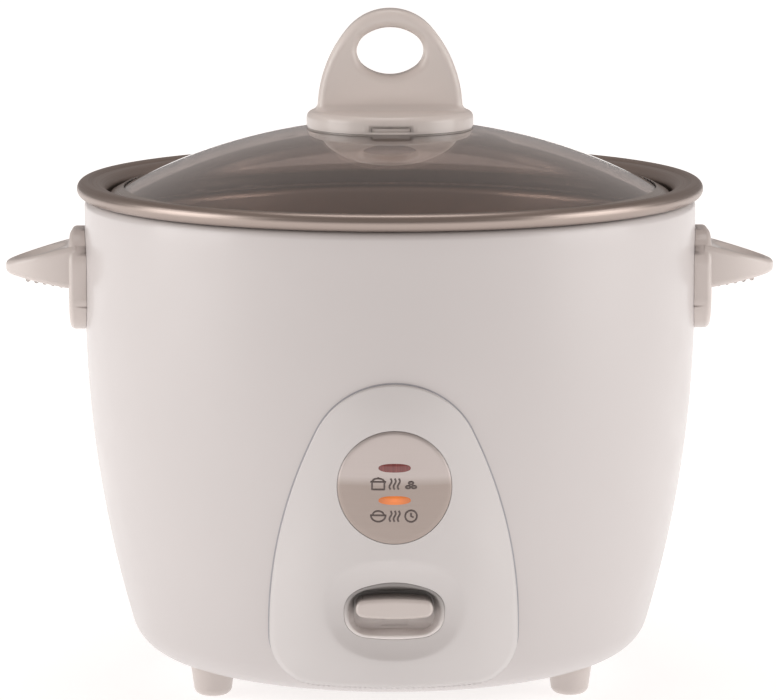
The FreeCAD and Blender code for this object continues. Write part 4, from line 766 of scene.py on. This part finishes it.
def floor_white(c):
    """Pale matt floor that glows enough to read as white paper, less so close to its middle: painted shade round the
    cooker, which also throws less light up onto it.
    """
    near_glow, far_glow = (0.76, 0.74, 0.735), (1, 0.975, 0.965)
    near, far = 0.1, 0.35
    f = Finish("floor_white", Roughness=0.9, Specular_IOR_Level=0.0, Emission_Strength=0.95)
    f.tint(f.spread(f.noise(f.where(), 3), 0, 1), *span(c.floor, 0.99, 1))
    # painted shade: the glow drops towards the middle, a pool of shade round the cooker
    away = f.spread(f.distance(f.where()), 0, 1, near, far)
    return f.tint(away, near_glow, far_glow, "Emission Color").material


# Shell, liner and base

def shell_path(wall):
    """Outside of the shell moved in by a wall, from underneath to the lip: corner arc, taper arc, lip arc."""
    z = sizes("shell")
    reach, rise = z.taper_radius - z.corner, z.taper_start - z.underside - z.corner
    taper_x = z.radius - z.taper_radius
    corner_x = taper_x + math.sqrt(reach ** 2 - rise ** 2)
    lean = -math.degrees(math.asin(rise / reach))
    return np.vstack([
        arc((corner_x, z.underside + z.corner), z.corner - wall, -90, lean, 16),
        arc((taper_x, z.taper_start), z.taper_radius - wall, lean, 0, 40)[1:],
        arc((z.radius - z.lip_round, z.top - z.lip_round), z.lip_round - wall, 0, 90, 12)])


def box_rings(low, high):
    """Two square rings that make a box from its lowest and highest corners."""
    corners = [(low[0], low[2]), (high[0], low[2]), (high[0], high[2]), (low[0], high[2])]
    return [np.array([(x, y, z) for x, z in corners]) for y in (low[1], high[1])]


def loft(rings):
    """Closed solid through rings of points, each end drawn together at the mean of its ring."""
    ends = [np.repeat(ring.mean(axis=0)[None], len(ring), axis=0) for ring in (rings[0], rings[-1])]
    return np.stack([ends[0], *rings, ends[1]])


def cut_solids(made, solids, sharp):
    """Cut lofted solids out of a piece and shade it again."""
    for grid in solids:
        mesh = grid_mesh("cutter", [grid], (False, True))
        clean(mesh)
        cutter = placed("cutter", mesh)
        modifier = made.modifiers.new("cut", "BOOLEAN")
        modifier.operation, modifier.solver, modifier.object = "DIFFERENCE", "EXACT", cutter
        depsgraph = bpy.context.evaluated_depsgraph_get()
        result = bpy.data.meshes.new_from_object(made.evaluated_get(depsgraph))
        made.modifiers.clear()
        made.data = result
        bpy.data.objects.remove(cutter)
    made.data.shade_smooth()
    made.data.set_sharp_from_angle(angle=math.radians(sharp))


class COOKER_OT_shell(Operator):
    """Turn the painted shell, cut its windows and finish the base under it"""
    bl_idname = "cooker.shell"
    bl_label = "Painted shell"

    def execute(self, context):
        z = sizes("shell")
        inner = z.radius - z.lip_width
        outside, inside = shell_path(0), shell_path(z.wall)[::-1]
        lip = arc((inner + z.wall / 2, z.top - z.wall / 2), z.wall / 2, 90, 270, 8)
        floor = arc((z.opening + z.wall / 2, z.underside + z.wall / 2), z.wall / 2, 90, 270, 8)
        path = finer(np.vstack([outside, lip, inside, floor]), QUAD_STEP)
        made = piece("shell_enamel", [turned(path, 256)], "enamel", "white_paint", "cooker", ["outer_body"],
                     wrap=(True, True))
        gap, below, inset, inlet_share = 0.3 * MM, 3 * MM, 2 * MM, 0.65
        bezel, holder, inlet = BEZEL_BOX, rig.box("lamp_holder"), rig.box("power_inlet")
        wide, low = inlet[1].x * inlet_share, bezel[0].z - below
        boxes = [
            ((bezel[0].x - gap, -z.radius, low),
             (bezel[1].x + gap, z.wall + gap - shell_radius(low), bezel[1].z + gap)),
            ((holder[0].x - gap, -z.radius, holder[0].z - gap),
             (holder[1].x + gap, holder[1].y, holder[1].z + gap)),
            ((-wide, inlet[0].y, inlet[0].z + inset), (wide, z.radius, inlet[1].z - inset))]
        cut_solids(made, [loft(box_rings(*box)) for box in boxes], sharp=35)
        coat_nodes("plated_steel", "base_plate")
        for node in ("foot_front_left", "foot_front_right", "foot_rear"):
            smoothed(node, node + "_moulding", "grip_plastic")
        return {"FINISHED"}


class COOKER_OT_liner(Operator):
    """Finish the thin liner that the pan stands in"""
    bl_idname = "cooker.liner"
    bl_label = "Liner"

    def execute(self, context):
        smoothed("pan_well", "liner_pressing", "spun_aluminium")
        return {"FINISHED"}


class COOKER_OT_handles(Operator):
    """Finish the two side handles"""
    bl_idname = "cooker.handles"
    bl_label = "Side handles"

    def execute(self, context):
        for side in ("left", "right"):
            smoothed("handle_" + side, "grip_" + side, "grip_plastic")
        return {"FINISHED"}


# Front panel

def shell_radius(z):
    """Radius of the shell's wall at a height: straight above, a large arc below."""
    b = sizes("shell")
    drop = np.maximum(b.taper_start - z, 0)
    return b.radius - b.taper_radius + np.sqrt(b.taper_radius ** 2 - drop ** 2)


def shell_face(x, z):
    """Depth y of the shell's front: -sqrt(R(z)^2 - x^2)."""
    return -np.sqrt(shell_radius(z) ** 2 - x ** 2)


def panel_radius(z):
    """Distance from the axis to the front of the face at a height: an upright arc from belly to foot."""
    p = sizes("panel")
    front, rise = sizes("shell").radius + p.rise, p.belly - p.bottom
    lean = front - shell_radius(p.bottom) - p.foot
    curve = (rise ** 2 + lean ** 2) / (2 * lean)
    return front - curve + np.sqrt(curve ** 2 - (p.belly - z) ** 2)


def panel_face(x, z, lift=0.0):
    """Depth y of the face, lifted outwards: a circle of R(z) - axis about an axis nearer to the front."""
    axis = sizes("panel").axis
    return -axis - np.sqrt((panel_radius(z) - axis + lift) ** 2 - x ** 2)


def panel_outline(count):
    """Closed outline at even steps: lower corners, leaning sides as large arcs, and a round crown."""
    p = sizes("panel")
    w, c, shoulder = p.half_width, p.crown, p.shoulder
    rise = p.top - shoulder - c
    side = (w ** 2 + rise ** 2 - c ** 2) / (2 * (w - c))
    meet = math.degrees(math.atan2(rise, side - w))
    half = np.vstack([
        [(0, p.bottom)],
        arc((w - p.corner, p.bottom + p.corner), p.corner, -90, 0, 16),
        arc((w - side, shoulder), side, 0, meet, 40),
        arc((0, p.top - c), c, meet, 90, 40)])
    whole = np.vstack([half, (half * (-1, 1))[::-1]])
    steps = np.concatenate([[0], np.cumsum(np.linalg.norm(np.diff(whole, axis=0), axis=1))])
    even = np.linspace(0, steps[-1], count, endpoint=False)
    return np.column_stack([np.interp(even, steps, whole[:, axis]) for axis in (0, 1)])


def slot_outline(half_width, half_height, corner):
    """Closed rounded rectangle about the origin."""
    x, z, c = half_width - corner, half_height - corner, corner
    return np.vstack([arc((sx * x, sz * z), c, start, start + 90, 12)
                      for sx, sz, start in ((1, -1, -90), (1, 1, 0), (-1, 1, 90), (-1, -1, 180))])


def dish_face(x, z):
    """Depth y of the tilted ellipsoid's inner side, the larger root of its quadratic, or -1 outside it."""
    p = sizes("panel")
    tilt = math.radians(DISH_TILT)
    depth = p.dish_depth - p.dish_through - panel_radius(p.dish_height)
    near, tall = 1 / p.dish_through ** 2, 1 / p.dish_tall ** 2
    dz = z - p.dish_height
    a = math.cos(tilt) ** 2 * near + math.sin(tilt) ** 2 * tall
    b = 2 * dz * math.sin(tilt) * math.cos(tilt) * (near - tall)
    c = dz ** 2 * (math.sin(tilt) ** 2 * near + math.cos(tilt) ** 2 * tall) + (x / p.dish_across) ** 2 - 1
    inside = b ** 2 - 4 * a * c
    return np.where(inside > 0, depth + (np.sqrt(np.maximum(inside, 0)) - b) / (2 * a), -1.0)


def oval_outline(half, tall, end):
    """Closed oval about the origin: large arcs above and below, tangent to a small arc at each end."""
    reach = half - end
    big = (reach ** 2 + tall ** 2 - end ** 2) / (2 * (tall - end))
    lean = math.degrees(math.atan2(big - tall, reach))
    return np.vstack([arc((reach, 0), end, -lean, lean), arc((0, tall - big), big, lean, 180 - lean),
                      arc((-reach, 0), end, 180 - lean, 180 + lean),
                      arc((0, big - tall), big, 180 + lean, 360 - lean)])


def reach_at(outline, angles):
    """Distance from the origin to a star-shaped outline in the given directions."""
    outline = finer(np.vstack([outline, outline[:1]]), OUTLINE_STEP)[:-1]
    found = np.arctan2(outline[:, 1], outline[:, 0])
    order = np.argsort(found)
    return np.interp(angles, found[order], np.linalg.norm(outline, axis=1)[order], period=2 * math.pi)


def bezel_ring(t, grow):
    """x and z of the funnel at t from mouth (0) to throat (1): r(t) (cos a, sin a), arched at the mouth."""
    p = sizes("panel")
    angles = np.linspace(-math.pi, math.pi, BEZEL_POINTS, endpoint=False)
    box = reach_at(slot_outline(p.mouth_half, p.mouth_tall, p.mouth_round), angles)
    arch = reach_at(oval_outline(p.mouth_half, p.mouth_tall, p.mouth_round), angles)
    mouth = np.where(np.sin(angles) > 0, arch, (arch + box) / 2)
    throat = reach_at(slot_outline(p.throat_half, p.throat_tall, p.throat_round), angles)
    reach = mouth + (throat - mouth) * t + grow
    return reach * np.cos(angles), p.dish_height - p.throat_drop * t + reach * np.sin(angles)


def bezel_depth(t):
    p = sizes("panel")
    return p.mouth_depth + (p.throat_depth - p.mouth_depth) * t - panel_radius(p.dish_height)


def funnel(grow, *stations):
    """Loft through rings of the funnel, grown all round."""
    rings = []
    for t in stations:
        x, z = bezel_ring(t, grow)
        rings.append(points(x, bezel_depth(t), z))
    return loft(rings)


# Inset and sink, in millimetres, of the rings that round the bezel's rim
RIM_ROUND = ((0, 0.5), (0, 0.2), (0.15, 0.06), (0.5, 0.02), (0.9, 0.08), (1.1, 0.25))


def bezel_solid():
    """Funnel whose rim lies in the dish: outer wall, rim rounded by inset and sink, inner wall and floor."""
    p = sizes("panel")
    rim = 0.2
    for _ in range(6):
        x, z = bezel_ring(rim, 0)
        depth = moulded_face(x, z)
        rim = (depth - bezel_depth(0)) / (bezel_depth(1) - bezel_depth(0))
    x, z = bezel_ring(1.0, 0)
    rings = [points(x, bezel_depth(1), z)]
    for inset, sink in RIM_ROUND:
        x, z = bezel_ring(rim, -inset * MM)
        rings.append(points(x, depth + sink * MM, z))
    inner_end = 1 - p.bezel_floor / (p.throat_depth - p.mouth_depth)
    for share in np.linspace(0.06, 1, 12):
        t = rim + (inner_end - rim) * share
        x, z = bezel_ring(t, -p.bezel_wall)
        rings.append(points(x, bezel_depth(t), z))
    floor_step = 0.5 * MM
    x, z = bezel_ring(inner_end, -p.bezel_wall - floor_step)
    rings.append(points(x, bezel_depth(inner_end), z))
    return loft(rings)


def shutter_solid():
    """Thin strip on an arc about the lever's pin, behind the bezel's slot."""
    p = sizes("panel")
    lap, wall, gap = 1.4 * MM, 0.6 * MM, 0.2 * MM
    low_turn, high_turn = -1.9, 16.1
    half = p.slot_half + lap
    inner = -bezel_depth(1) - p.pivot_back - gap - wall
    x, r = np.array([(-half, inner), (half, inner), (half, inner + wall), (-half, inner + wall)]).T
    return loft([points(x, -p.pivot_back - r * math.cos(turn), p.pivot_height + r * math.sin(turn))
                 for turn in np.radians(np.linspace(low_turn, high_turn, 13))])


def disc_seat():
    """Shallow round hole that follows the face, a seam wider than the plate."""
    p = sizes("panel")
    x, z = arc((0, p.disc_height), p.disc_radius + p.seam, 0, 360, 193)[:-1].T
    above, sunk = 1 * MM, -0.75 * MM
    return loft([points(x, panel_face(x, z, lift), z) for lift in (above, sunk)])


def soft_max(first, second, blur):
    """Larger of two, its crease round: (a + b + sqrt((a - b)^2 + blur^2) - blur^2 / hypot(1, blur)) / 2."""
    return (first + second + np.sqrt((first - second) ** 2 + blur ** 2) - blur ** 2 / np.hypot(1, blur)) / 2


def moulded_face(x, z):
    """Depth y of the face with its dish."""
    return soft_max(panel_face(x, z), dish_face(x, z), DISH_BLUR)


class COOKER_OT_front_panel(Operator):
    """Shape the front panel as rays from its dish, and cut the bezel's hole and the plate's seat"""
    bl_idname = "cooker.front_panel"
    bl_label = "Front panel"

    def execute(self, context):
        p = sizes("panel")
        centre = np.array((0, p.dish_height))
        outline = panel_outline(360)
        bend = 0.86
        share = np.concatenate([np.linspace(0, bend, 76), np.linspace(bend, 1, 44)[1:]])[:, None, None]
        flat = centre + (outline - centre) * share
        x, z = flat[:, :, 0], flat[:, :, 1]
        edge_gap = np.sqrt(((flat[:, :, None] - outline[None, None, ::2]) ** 2).sum(axis=3)).min(axis=2)
        edge_gap[-1] = 0
        clear, sheet, fall_share, fall_most, edge_share = 0.1 * MM, 0.2 * MM, 0.5, 2.2 * MM, 0.35
        back = shell_face(x, z) - clear
        proud = back - panel_face(x, z)
        fall = np.minimum(fall_share * proud, fall_most) * np.clip(1 - edge_gap / p.fall_width, 0, 1) ** 2
        edge = np.minimum(p.edge, edge_share * proud)
        over = np.clip(1 - edge_gap / edge, 0, 1)
        front = moulded_face(x, z) + fall + edge * (1 - np.sqrt(1 - over ** 2))
        face = points(x, np.minimum(front, back), z)
        rear = points(x, back + sheet, z)[::-8]
        made = piece("panel_moulding", [np.concatenate([face, rear])], "moulding", "white_plastic", "cooker",
                     ["front_panel"], sharp=50)
        along = np.roll(outline, -1, axis=0) - np.roll(outline, 1, axis=0)
        away = np.column_stack((along[:, 1], -along[:, 0])) / np.linalg.norm(along, axis=1)[:, None]
        tuck = 0.3 * MM
        x, z = (outline + away * np.array((-tuck, p.line))[:, None, None]).transpose(2, 0, 1)
        # painted shadow: a dark strip laid on the shell round the panel, where the joint is shaded
        piece("panel_seam", [points(x, shell_face(x, z) - FACE_GAP, z)], "seam_grey", "white_plastic",
              "cooker")
        beside, room, reach, past = 2 * MM, 6 * MM, 8 * MM, 0.2
        throat = bezel_depth(1)
        behind, half = throat + FACE_GAP, p.slot_half + beside
        rear_room = box_rings((-half, behind, p.slot_low - room), (half, behind + reach, p.slot_high + room))
        cut_solids(made, [funnel(clear, -past, 1 + past), disc_seat(), loft(rear_room)], sharp=50)
        bezel = piece("bezel_funnel", [bezel_solid()], "funnel_grey", node_slot("switch_bezel"), "cooker",
                      ["switch_bezel"], sharp=40)
        ahead, through = 4 * MM, 1 * MM
        slot = box_rings((-p.slot_half, throat - ahead, p.slot_low),
                         (p.slot_half, throat + through, p.slot_high))
        cut_solids(bezel, [loft(slot)], sharp=40)
        return {"FINISHED"}


def domed_oval(outline, centre, lift, crown, depth):
    """Cushion over an outline: rays from its centre, lifted by lift + crown (1 - t^2), its edge rounded."""
    offset = outline - centre
    edge, strip, drop = 0.9, 0.1, 0.25 * MM
    share = np.concatenate([np.linspace(0, edge, 14), np.linspace(edge, 1, 7)[1:]])[:, None, None]
    flat = centre + offset * share
    t = share[:, :, 0]
    height = lift + crown * (1 - t ** 2) - drop * np.clip((t - edge) / strip, 0, 1) ** 3
    x, z = flat[:, :, 0], flat[:, :, 1]
    front = points(x, panel_face(x, z, height), z)
    wall = points(x[-1], panel_face(x[-1], z[-1]) + depth, z[-1])[None]
    floor = np.repeat(wall.mean(axis=1, keepdims=True), len(outline), axis=1)
    return np.concatenate([front, wall, floor])


class COOKER_OT_indicator(Operator):
    """Make the silver plate and its two windows"""
    bl_idname = "cooker.indicator"
    bl_label = "Indicator plate"

    def execute(self, context):
        p = sizes("panel")
        middle = np.array((0, p.disc_height))
        ring = arc(middle, p.disc_radius, 0, 360, 161)[:-1]
        flat, plate_depth = 0.0, 0.6 * MM
        piece("silver_disc", [domed_oval(ring, middle, p.disc_proud, flat, plate_depth)], "satin_silver",
              "silver_plate", "cooker", ["indicator_plate"])
        turn = np.radians(np.linspace(0, 360, 96, endpoint=False))
        proud, crown, depth, bulge = 0.12 * MM, 0.2 * MM, 1.5 * MM, 2.4
        across, up = (np.sign(part) * np.abs(part) ** (2 / bulge) for part in (np.cos(turn), np.sin(turn)))
        for name, height, look, slot in (("cook", p.cook_height, "red_window", "red_lens"),
                                         ("warm", p.warm_height, "amber_window", "amber_lens")):
            oval = np.column_stack((p.window_half * across, height + p.window_tall * up))
            cushion = domed_oval(oval, np.array((0, height)), proud, crown, depth)
            piece(name + "_window", [cushion], look, slot, "cooker", [name + "_lens"])
        coat_nodes("bezel_grey", "lamp_holder")
        coat_nodes("lamp_glass", "cook_lamp", "warm_lamp")
        coat_nodes("board_green", "lamp_board")
        return {"FINISHED"}


# Printed signs

def ring_line(x, z, wide, tall, start=0, end=360, count=33):
    turn = np.radians(np.linspace(start, end, count))
    return np.column_stack((x + wide * np.cos(turn), z + tall * np.sin(turn)))


def straight(*ends):
    return finer(np.array(ends, float), SIGN_STEP)


def wave(x, z, tall):
    sway, rise = 0.38, np.linspace(-1, 1, 25)
    return np.column_stack((x + sway * np.sin(rise * math.pi), z + rise * tall))


def pot_sign(x):
    """Pot with a lid, drawn in millimetres about the middle of its line."""
    return [straight((x - 2.1, 0.7), (x - 2.1, -1.9), (x + 2.1, -1.9), (x + 2.1, 0.7)),
            straight((x - 2.7, 0.75), (x + 2.7, 0.75)), ring_line(x, 0.8, 2.0, 1.1, 0, 180),
            straight((x - 0.3, 2.05), (x + 0.3, 2.05))]


def bowl_sign(x):
    """Bowl with a heap of grain."""
    return [ring_line(x, 0.3, 2.5, 2.2, 180, 360), straight((x - 2.8, 0.3), (x + 2.8, 0.3)),
            ring_line(x, 0.4, 1.9, 1.4, 0, 180)]


def steam_sign(x):
    return [wave(x + step, 0, 1.9) for step in (-1.4, 0, 1.4)]


def clock_sign(x):
    return [ring_line(x, 0, 2.0, 2.0), straight((x, 1.2), (x, 0), (x + 0.9, -0.5))]


def grain_sign(x):
    return [ring_line(x + across, up, 0.8, 0.45) for across, up in ((-1.0, -1.1), (1.0, -1.1), (0, 0.3))]


def ribbon(line, height, width):
    """Flat strip of a given width along a line, laid on the plate just above its face."""
    along = np.gradient(line, axis=0)
    along /= np.linalg.norm(along, axis=1)[:, None]
    side = np.column_stack((-along[:, 1], along[:, 0])) * width / 2
    both = np.stack((line * MM - side, line * MM + side), axis=1) + (0, height)
    x, z = both[:, :, 0], both[:, :, 1]
    return points(x, panel_face(x, z, sizes("panel").disc_proud + INK_LIFT), z)


class COOKER_OT_signs(Operator):
    """Print plain signs beside the two windows: pot, steam and grain above, bowl, steam and clock below"""
    bl_idname = "cooker.signs"
    bl_label = "Printed signs"

    def execute(self, context):
        p = sizes("panel")
        left, right, steam = -SIGN_PITCH, SIGN_PITCH, steam_sign(0)
        rows = {"cook_signs": (p.cook_height, pot_sign(left) + steam + grain_sign(right)),
                "warm_signs": (p.warm_height, bowl_sign(left) + steam + clock_sign(right))}
        for name, (height, lines) in rows.items():
            made = piece(name, [ribbon(line, height - p.sign_drop, p.stroke) for line in lines], "sign_print",
                         "silver_plate", "cooker", wrap=(False, False))
            ink = made.modifiers.new("ink", "SOLIDIFY")
            ink.thickness, ink.offset = INK_WALL, 0
        return {"FINISHED"}


class COOKER_OT_lever(Operator):
    """Finish the bar that is pressed, its arm, the bracket and the switch"""
    bl_idname = "cooker.lever"
    bl_label = "Cook lever"

    def execute(self, context):
        smoothed("lever_cap", "lever_bar", "grip_plastic")
        # the shutter takes the funnel's painted light too, lighter low and darker high
        piece("slot_shutter", [shutter_solid()], "funnel_grey", node_slot("switch_bezel"), "lever")
        coat_nodes("bezel_grey", "cook_lever", "microswitch_plunger")
        coat_nodes("plated_steel", "lever_bracket", "lever_pin", "microswitch_pins")
        coat_nodes("dark_plastic", "microswitch")
        coat_nodes("brass_bright", "microswitch_tabs")
        return {"FINISHED"}


# Pan and lid

class COOKER_OT_pan(Operator):
    """Turn the drawn pan with its ledge, flange and rolled rim"""
    bl_idname = "cooker.pan"
    bl_label = "Lift-out pan"

    def execute(self, context):
        z = sizes("pan")
        wall, inner, recess = z.wall, z.inner, z.recess
        bead_x, bead_z = PAN_BOX[1].x - z.bead, PAN_BOX[1].z - z.bead
        flange = PAN_BOX[1].z - z.bead_drop
        small = 2 * MM
        big = small + wall
        floor = z.underside + wall
        low, high = flange - wall - bead_z, flange - bead_z
        roll = arc((bead_x, bead_z), z.bead, 180 - math.degrees(math.asin(low / z.bead)),
                   540 - math.degrees(math.asin(high / z.bead)), 48)
        outside = rounded([(0, z.underside), (inner + wall, z.underside, z.corner + wall),
                           (inner + wall, z.ledge - wall, small), (recess + wall, z.ledge - wall, big),
                           (recess + wall, flange - wall, small), tuple(roll[0])])
        inside = rounded([tuple(roll[-1]), (recess, flange, big), (recess, z.ledge, small),
                          (inner, z.ledge, big), (inner, floor, z.corner), (0, floor)])
        path = finer(np.vstack([outside[:-1], roll, inside[1:]]), QUAD_STEP)
        piece("pan_drawing", [turned(path, 224)], "pan_aluminium", "pressed_aluminium", "pan", ["inner_pan"])
        return {"FINISHED"}


def dome_centre():
    """Height of the middle of the glass's sphere, which passes through the upper edge of its hole."""
    z = sizes("lid")
    return GLASS_BOX[1].z - math.sqrt(z.curve ** 2 - z.hole ** 2)


def dome_height(r, lift):
    """Height of the glass's outer sphere at a radius, lifted outwards: c + sqrt((R + lift)^2 - r^2)."""
    return dome_centre() + np.sqrt((sizes("lid").curve + lift) ** 2 - r ** 2)


class COOKER_OT_lid(Operator):
    """Turn the glass dome and finish the steel band round its edge"""
    bl_idname = "cooker.lid"
    bl_label = "Glass lid"

    def execute(self, context):
        z = sizes("lid")
        middle = (0, dome_centre())
        inner = z.curve - z.thickness
        ends = [[math.degrees(math.acos(x / r)) for x in (z.edge, z.hole)] for r in (z.curve, inner)]
        top = arc(middle, z.curve, *ends[0], 48)
        under = arc(middle, inner, *ends[1], 48)[::-1]
        piece("lid_dome", [turned(np.vstack([top, under]))], "lid_pane", "lid_glass", "lid", ["lid_glass"],
              sharp=50, wrap=(True, True))
        smoothed("lid_band", "lid_rim", "band_steel")
        return {"FINISHED"}


class COOKER_OT_knob(Operator):
    """Finish the loop knob and what holds it to the glass"""
    bl_idname = "cooker.knob"
    bl_label = "Lid knob"

    def execute(self, context):
        smoothed("lid_knob", "knob_loop", "knob_plastic")
        z = sizes("lid")
        inset, notch_depth, notch_lift = 0.4 * MM, 1.4 * MM, 0.25 * MM
        r = np.linspace(z.seal_outer, z.knob_radius - inset, 10)
        under = np.column_stack((r, dome_height(r, FACE_GAP)))
        over = np.column_stack((r, dome_height(r, z.seal_gap - FACE_GAP)))
        slot = node_slot("lid_knob")
        piece("knob_lip", [turned(np.vstack([under, over[::-1]]), 128)], "knob_plastic", slot, "lid",
              wrap=(True, True))
        front, low = -z.knob_radius + notch_depth, dome_height(z.knob_radius, z.seal_gap)
        back = box_rings((-z.notch_half, front, low + notch_lift),
                         (z.notch_half, -z.seal_outer, low + z.notch_tall))
        piece("notch_back", [loft(back)], "knob_plastic", slot, "lid")
        coat_nodes("seal_rubber", "knob_seal")
        coat_nodes("plated_steel", "knob_washer", "knob_screw")
        return {"FINISHED"}


# Works inside and at the back

class COOKER_OT_heater(Operator):
    """Finish the heating plate, its posts and the thermostat"""
    bl_idname = "cooker.heater"
    bl_label = "Heater and thermostat"

    def execute(self, context):
        smoothed("heating_plate", "heater_casting", "cast_aluminium")
        smoothed("sensor_cap", "sensor_cup", "spun_aluminium")
        posts = ["heater_post_%d" % number for number in range(1, 5)]
        coat_nodes("plated_steel", *posts, "heating_element", "thermostat_bracket", "thermostat_sleeve",
                   "magnet_rod", "thermal_fuse", "fuse_clip")
        for node, below, above in (("return_spring", "magnet_slider", "cooker"),
                                   ("sensor_spring", "cooker", "sensor")):
            made = dressed(node + "_wire", frame["nodes"][node].data.copy(), "plated_steel",
                           node_slot(node), None, (node,), sharp=30)
            low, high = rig.box(node)
            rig.blend(made, below, above, start=(0, 0, low.z), end=(0, 0, high.z))
        coat_nodes("ferrite_grey", "ferrite_core", "magnet")
        coat_nodes("dark_plastic", "keep_warm_thermostat")
        return {"FINISHED"}


class COOKER_OT_inlet(Operator):
    """Finish the mains inlet, its pins and the leads inside"""
    bl_idname = "cooker.inlet"
    bl_label = "Mains inlet and leads"

    def execute(self, context):
        smoothed("power_inlet", "inlet_moulding", "dark_plastic")
        coat_nodes("brass_bright", "inlet_pins")
        coat_nodes("woven_sleeve", "lead_live", "lead_heater", "lead_neutral")
        return {"FINISHED"}


class COOKER_OT_screws(Operator):
    """Finish the screws"""
    bl_idname = "cooker.screws"
    bl_label = "Screws"

    def execute(self, context):
        coat_nodes("plated_steel", "foot_screws", "handle_screws", "panel_screws", "post_screws",
                   "inlet_screws")
        return {"FINISHED"}


# Stage

FLOOR_HALF, FLOOR_POINTS = 12.0, 9
AIM = (0, 0, 0.11)
LIGHT_TONE = (1, 0.985, 0.97)
# Place, size and power of each soft box
LIGHTS = {"left_box": ((-1.65, -0.35, 0.55), (1.2, 1.2), 12.5),
          "right_box": ((1.65, -0.35, 0.55), (1.2, 1.2), 11.5),
          "top_box": ((0, 0.3, 1.9), (1.0, 0.8), 5)}
SKY_HEIGHT = 0.75
FOCAL, SENSOR, FAR_CLIP = 191.26, 36.0, 100
EYE_BACK, EYE_HEIGHT, EYE_PITCH, EYE_TURN = 1.5, 0.3514, 8.78, -0.8


def soft_light(name, place, size, power):
    """Soft box of a given size and power that looks at the cooker."""
    light = bpy.data.lights.new(name, "AREA")
    light.shape, light.size, light.size_y = "RECTANGLE", *size
    light.energy, light.color = power, LIGHT_TONE
    made = placed(name, light)
    made.location = place
    made.rotation_euler = (Vector(AIM) - Vector(place)).to_track_quat("-Z", "Y").to_euler()


def studio(c):
    """World that is greyer near the floor and lighter and browner overhead."""
    world = bpy.data.worlds.new("studio")
    world.use_nodes = True
    tree = world.node_tree
    kinds = ("TexCoord", "SeparateXYZ", "MapRange", "Mix")
    place, split, height, mix = (tree.nodes.new("ShaderNode" + kind) for kind in kinds)
    height.inputs["From Max"].default_value = SKY_HEIGHT
    mix.data_type = "RGBA"
    mix.inputs[6].default_value, mix.inputs[7].default_value = (*c.low_sky, 1), (*c.high_sky, 1)
    tree.links.new(place.outputs["Generated"], split.inputs[0])
    tree.links.new(split.outputs["Z"], height.inputs["Value"])
    tree.links.new(height.outputs["Result"], mix.inputs[0])
    tree.links.new(mix.outputs[2], tree.nodes["Background"].inputs["Color"])
    return world


class COOKER_OT_stage(Operator):
    """Lay the floor, hang the soft lights and set the camera"""
    bl_idname = "cooker.stage"
    bl_label = "Stage"

    def execute(self, context):
        scene = context.scene
        scene.view_settings.view_transform = "Standard"
        side = np.linspace(-FLOOR_HALF, FLOOR_HALF, FLOOR_POINTS)
        grid = points(*np.meshgrid(side, side), 0.0)
        mesh = grid_mesh("floor", [grid], (False, False))
        mesh.materials.append(finish("floor_white"))
        floor = placed("floor", mesh)
        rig.stage(floor)
        for name, (place, size, power) in LIGHTS.items():
            soft_light(name, place, size, power)
        scene.world = studio(sizes("colours"))
        camera = placed("camera", bpy.data.cameras.new("camera"))
        camera.data.lens, camera.data.sensor_width = FOCAL, SENSOR
        camera.data.clip_end = FAR_CLIP
        turn = math.radians(EYE_TURN)
        camera.location = (EYE_BACK * math.sin(turn), -EYE_BACK * math.cos(turn), EYE_HEIGHT)
        camera.rotation_euler = (math.radians(90 - EYE_PITCH), 0, turn)
        scene.camera = camera
        return {"FINISHED"}


OPERATORS = (COOKER_OT_stage, COOKER_OT_shell, COOKER_OT_liner, COOKER_OT_handles, COOKER_OT_front_panel,
             COOKER_OT_indicator, COOKER_OT_signs, COOKER_OT_lever, COOKER_OT_pan, COOKER_OT_lid,
             COOKER_OT_knob, COOKER_OT_heater, COOKER_OT_inlet, COOKER_OT_screws)


class COOKER_PT_sidebar(Panel):
    """Sizes, colours and steps of the cooker"""
    bl_idname = "COOKER_PT_sidebar"
    bl_label = "Rice Cooker"
    bl_space_type = "VIEW_3D"
    bl_region_type = "UI"
    bl_category = "Cooker"

    def draw(self, context):
        column = self.layout.column()
        for operator in OPERATORS:
            column.operator(operator.bl_idname)
        for name, group in GROUPS.items():
            column.label(text=group.__name__)
            for label in group.__annotations__:
                column.prop(getattr(context.scene, name), label)


CLASSES = (*GROUPS.values(), *OPERATORS, COOKER_PT_sidebar)


def register():
    for item in CLASSES:
        bpy.utils.register_class(item)
    for name, group in GROUPS.items():
        setattr(bpy.types.Scene, name, PointerProperty(type=group))


def unregister():
    for name in GROUPS:
        delattr(bpy.types.Scene, name)
    for item in reversed(CLASSES):
        bpy.utils.unregister_class(item)


def main():
    register()
    for operator in OPERATORS:
        group, name = operator.bl_idname.split(".")
        getattr(getattr(bpy.ops, group), name)()
    with open("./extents.json", "w") as record:
        boxes = {"cad": CAD_BOX, "visual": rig.bounds()}
        json.dump({name: [list(corner) for corner in box] for name, box in boxes.items()}, record)


if __name__ == "__main__":
    main()
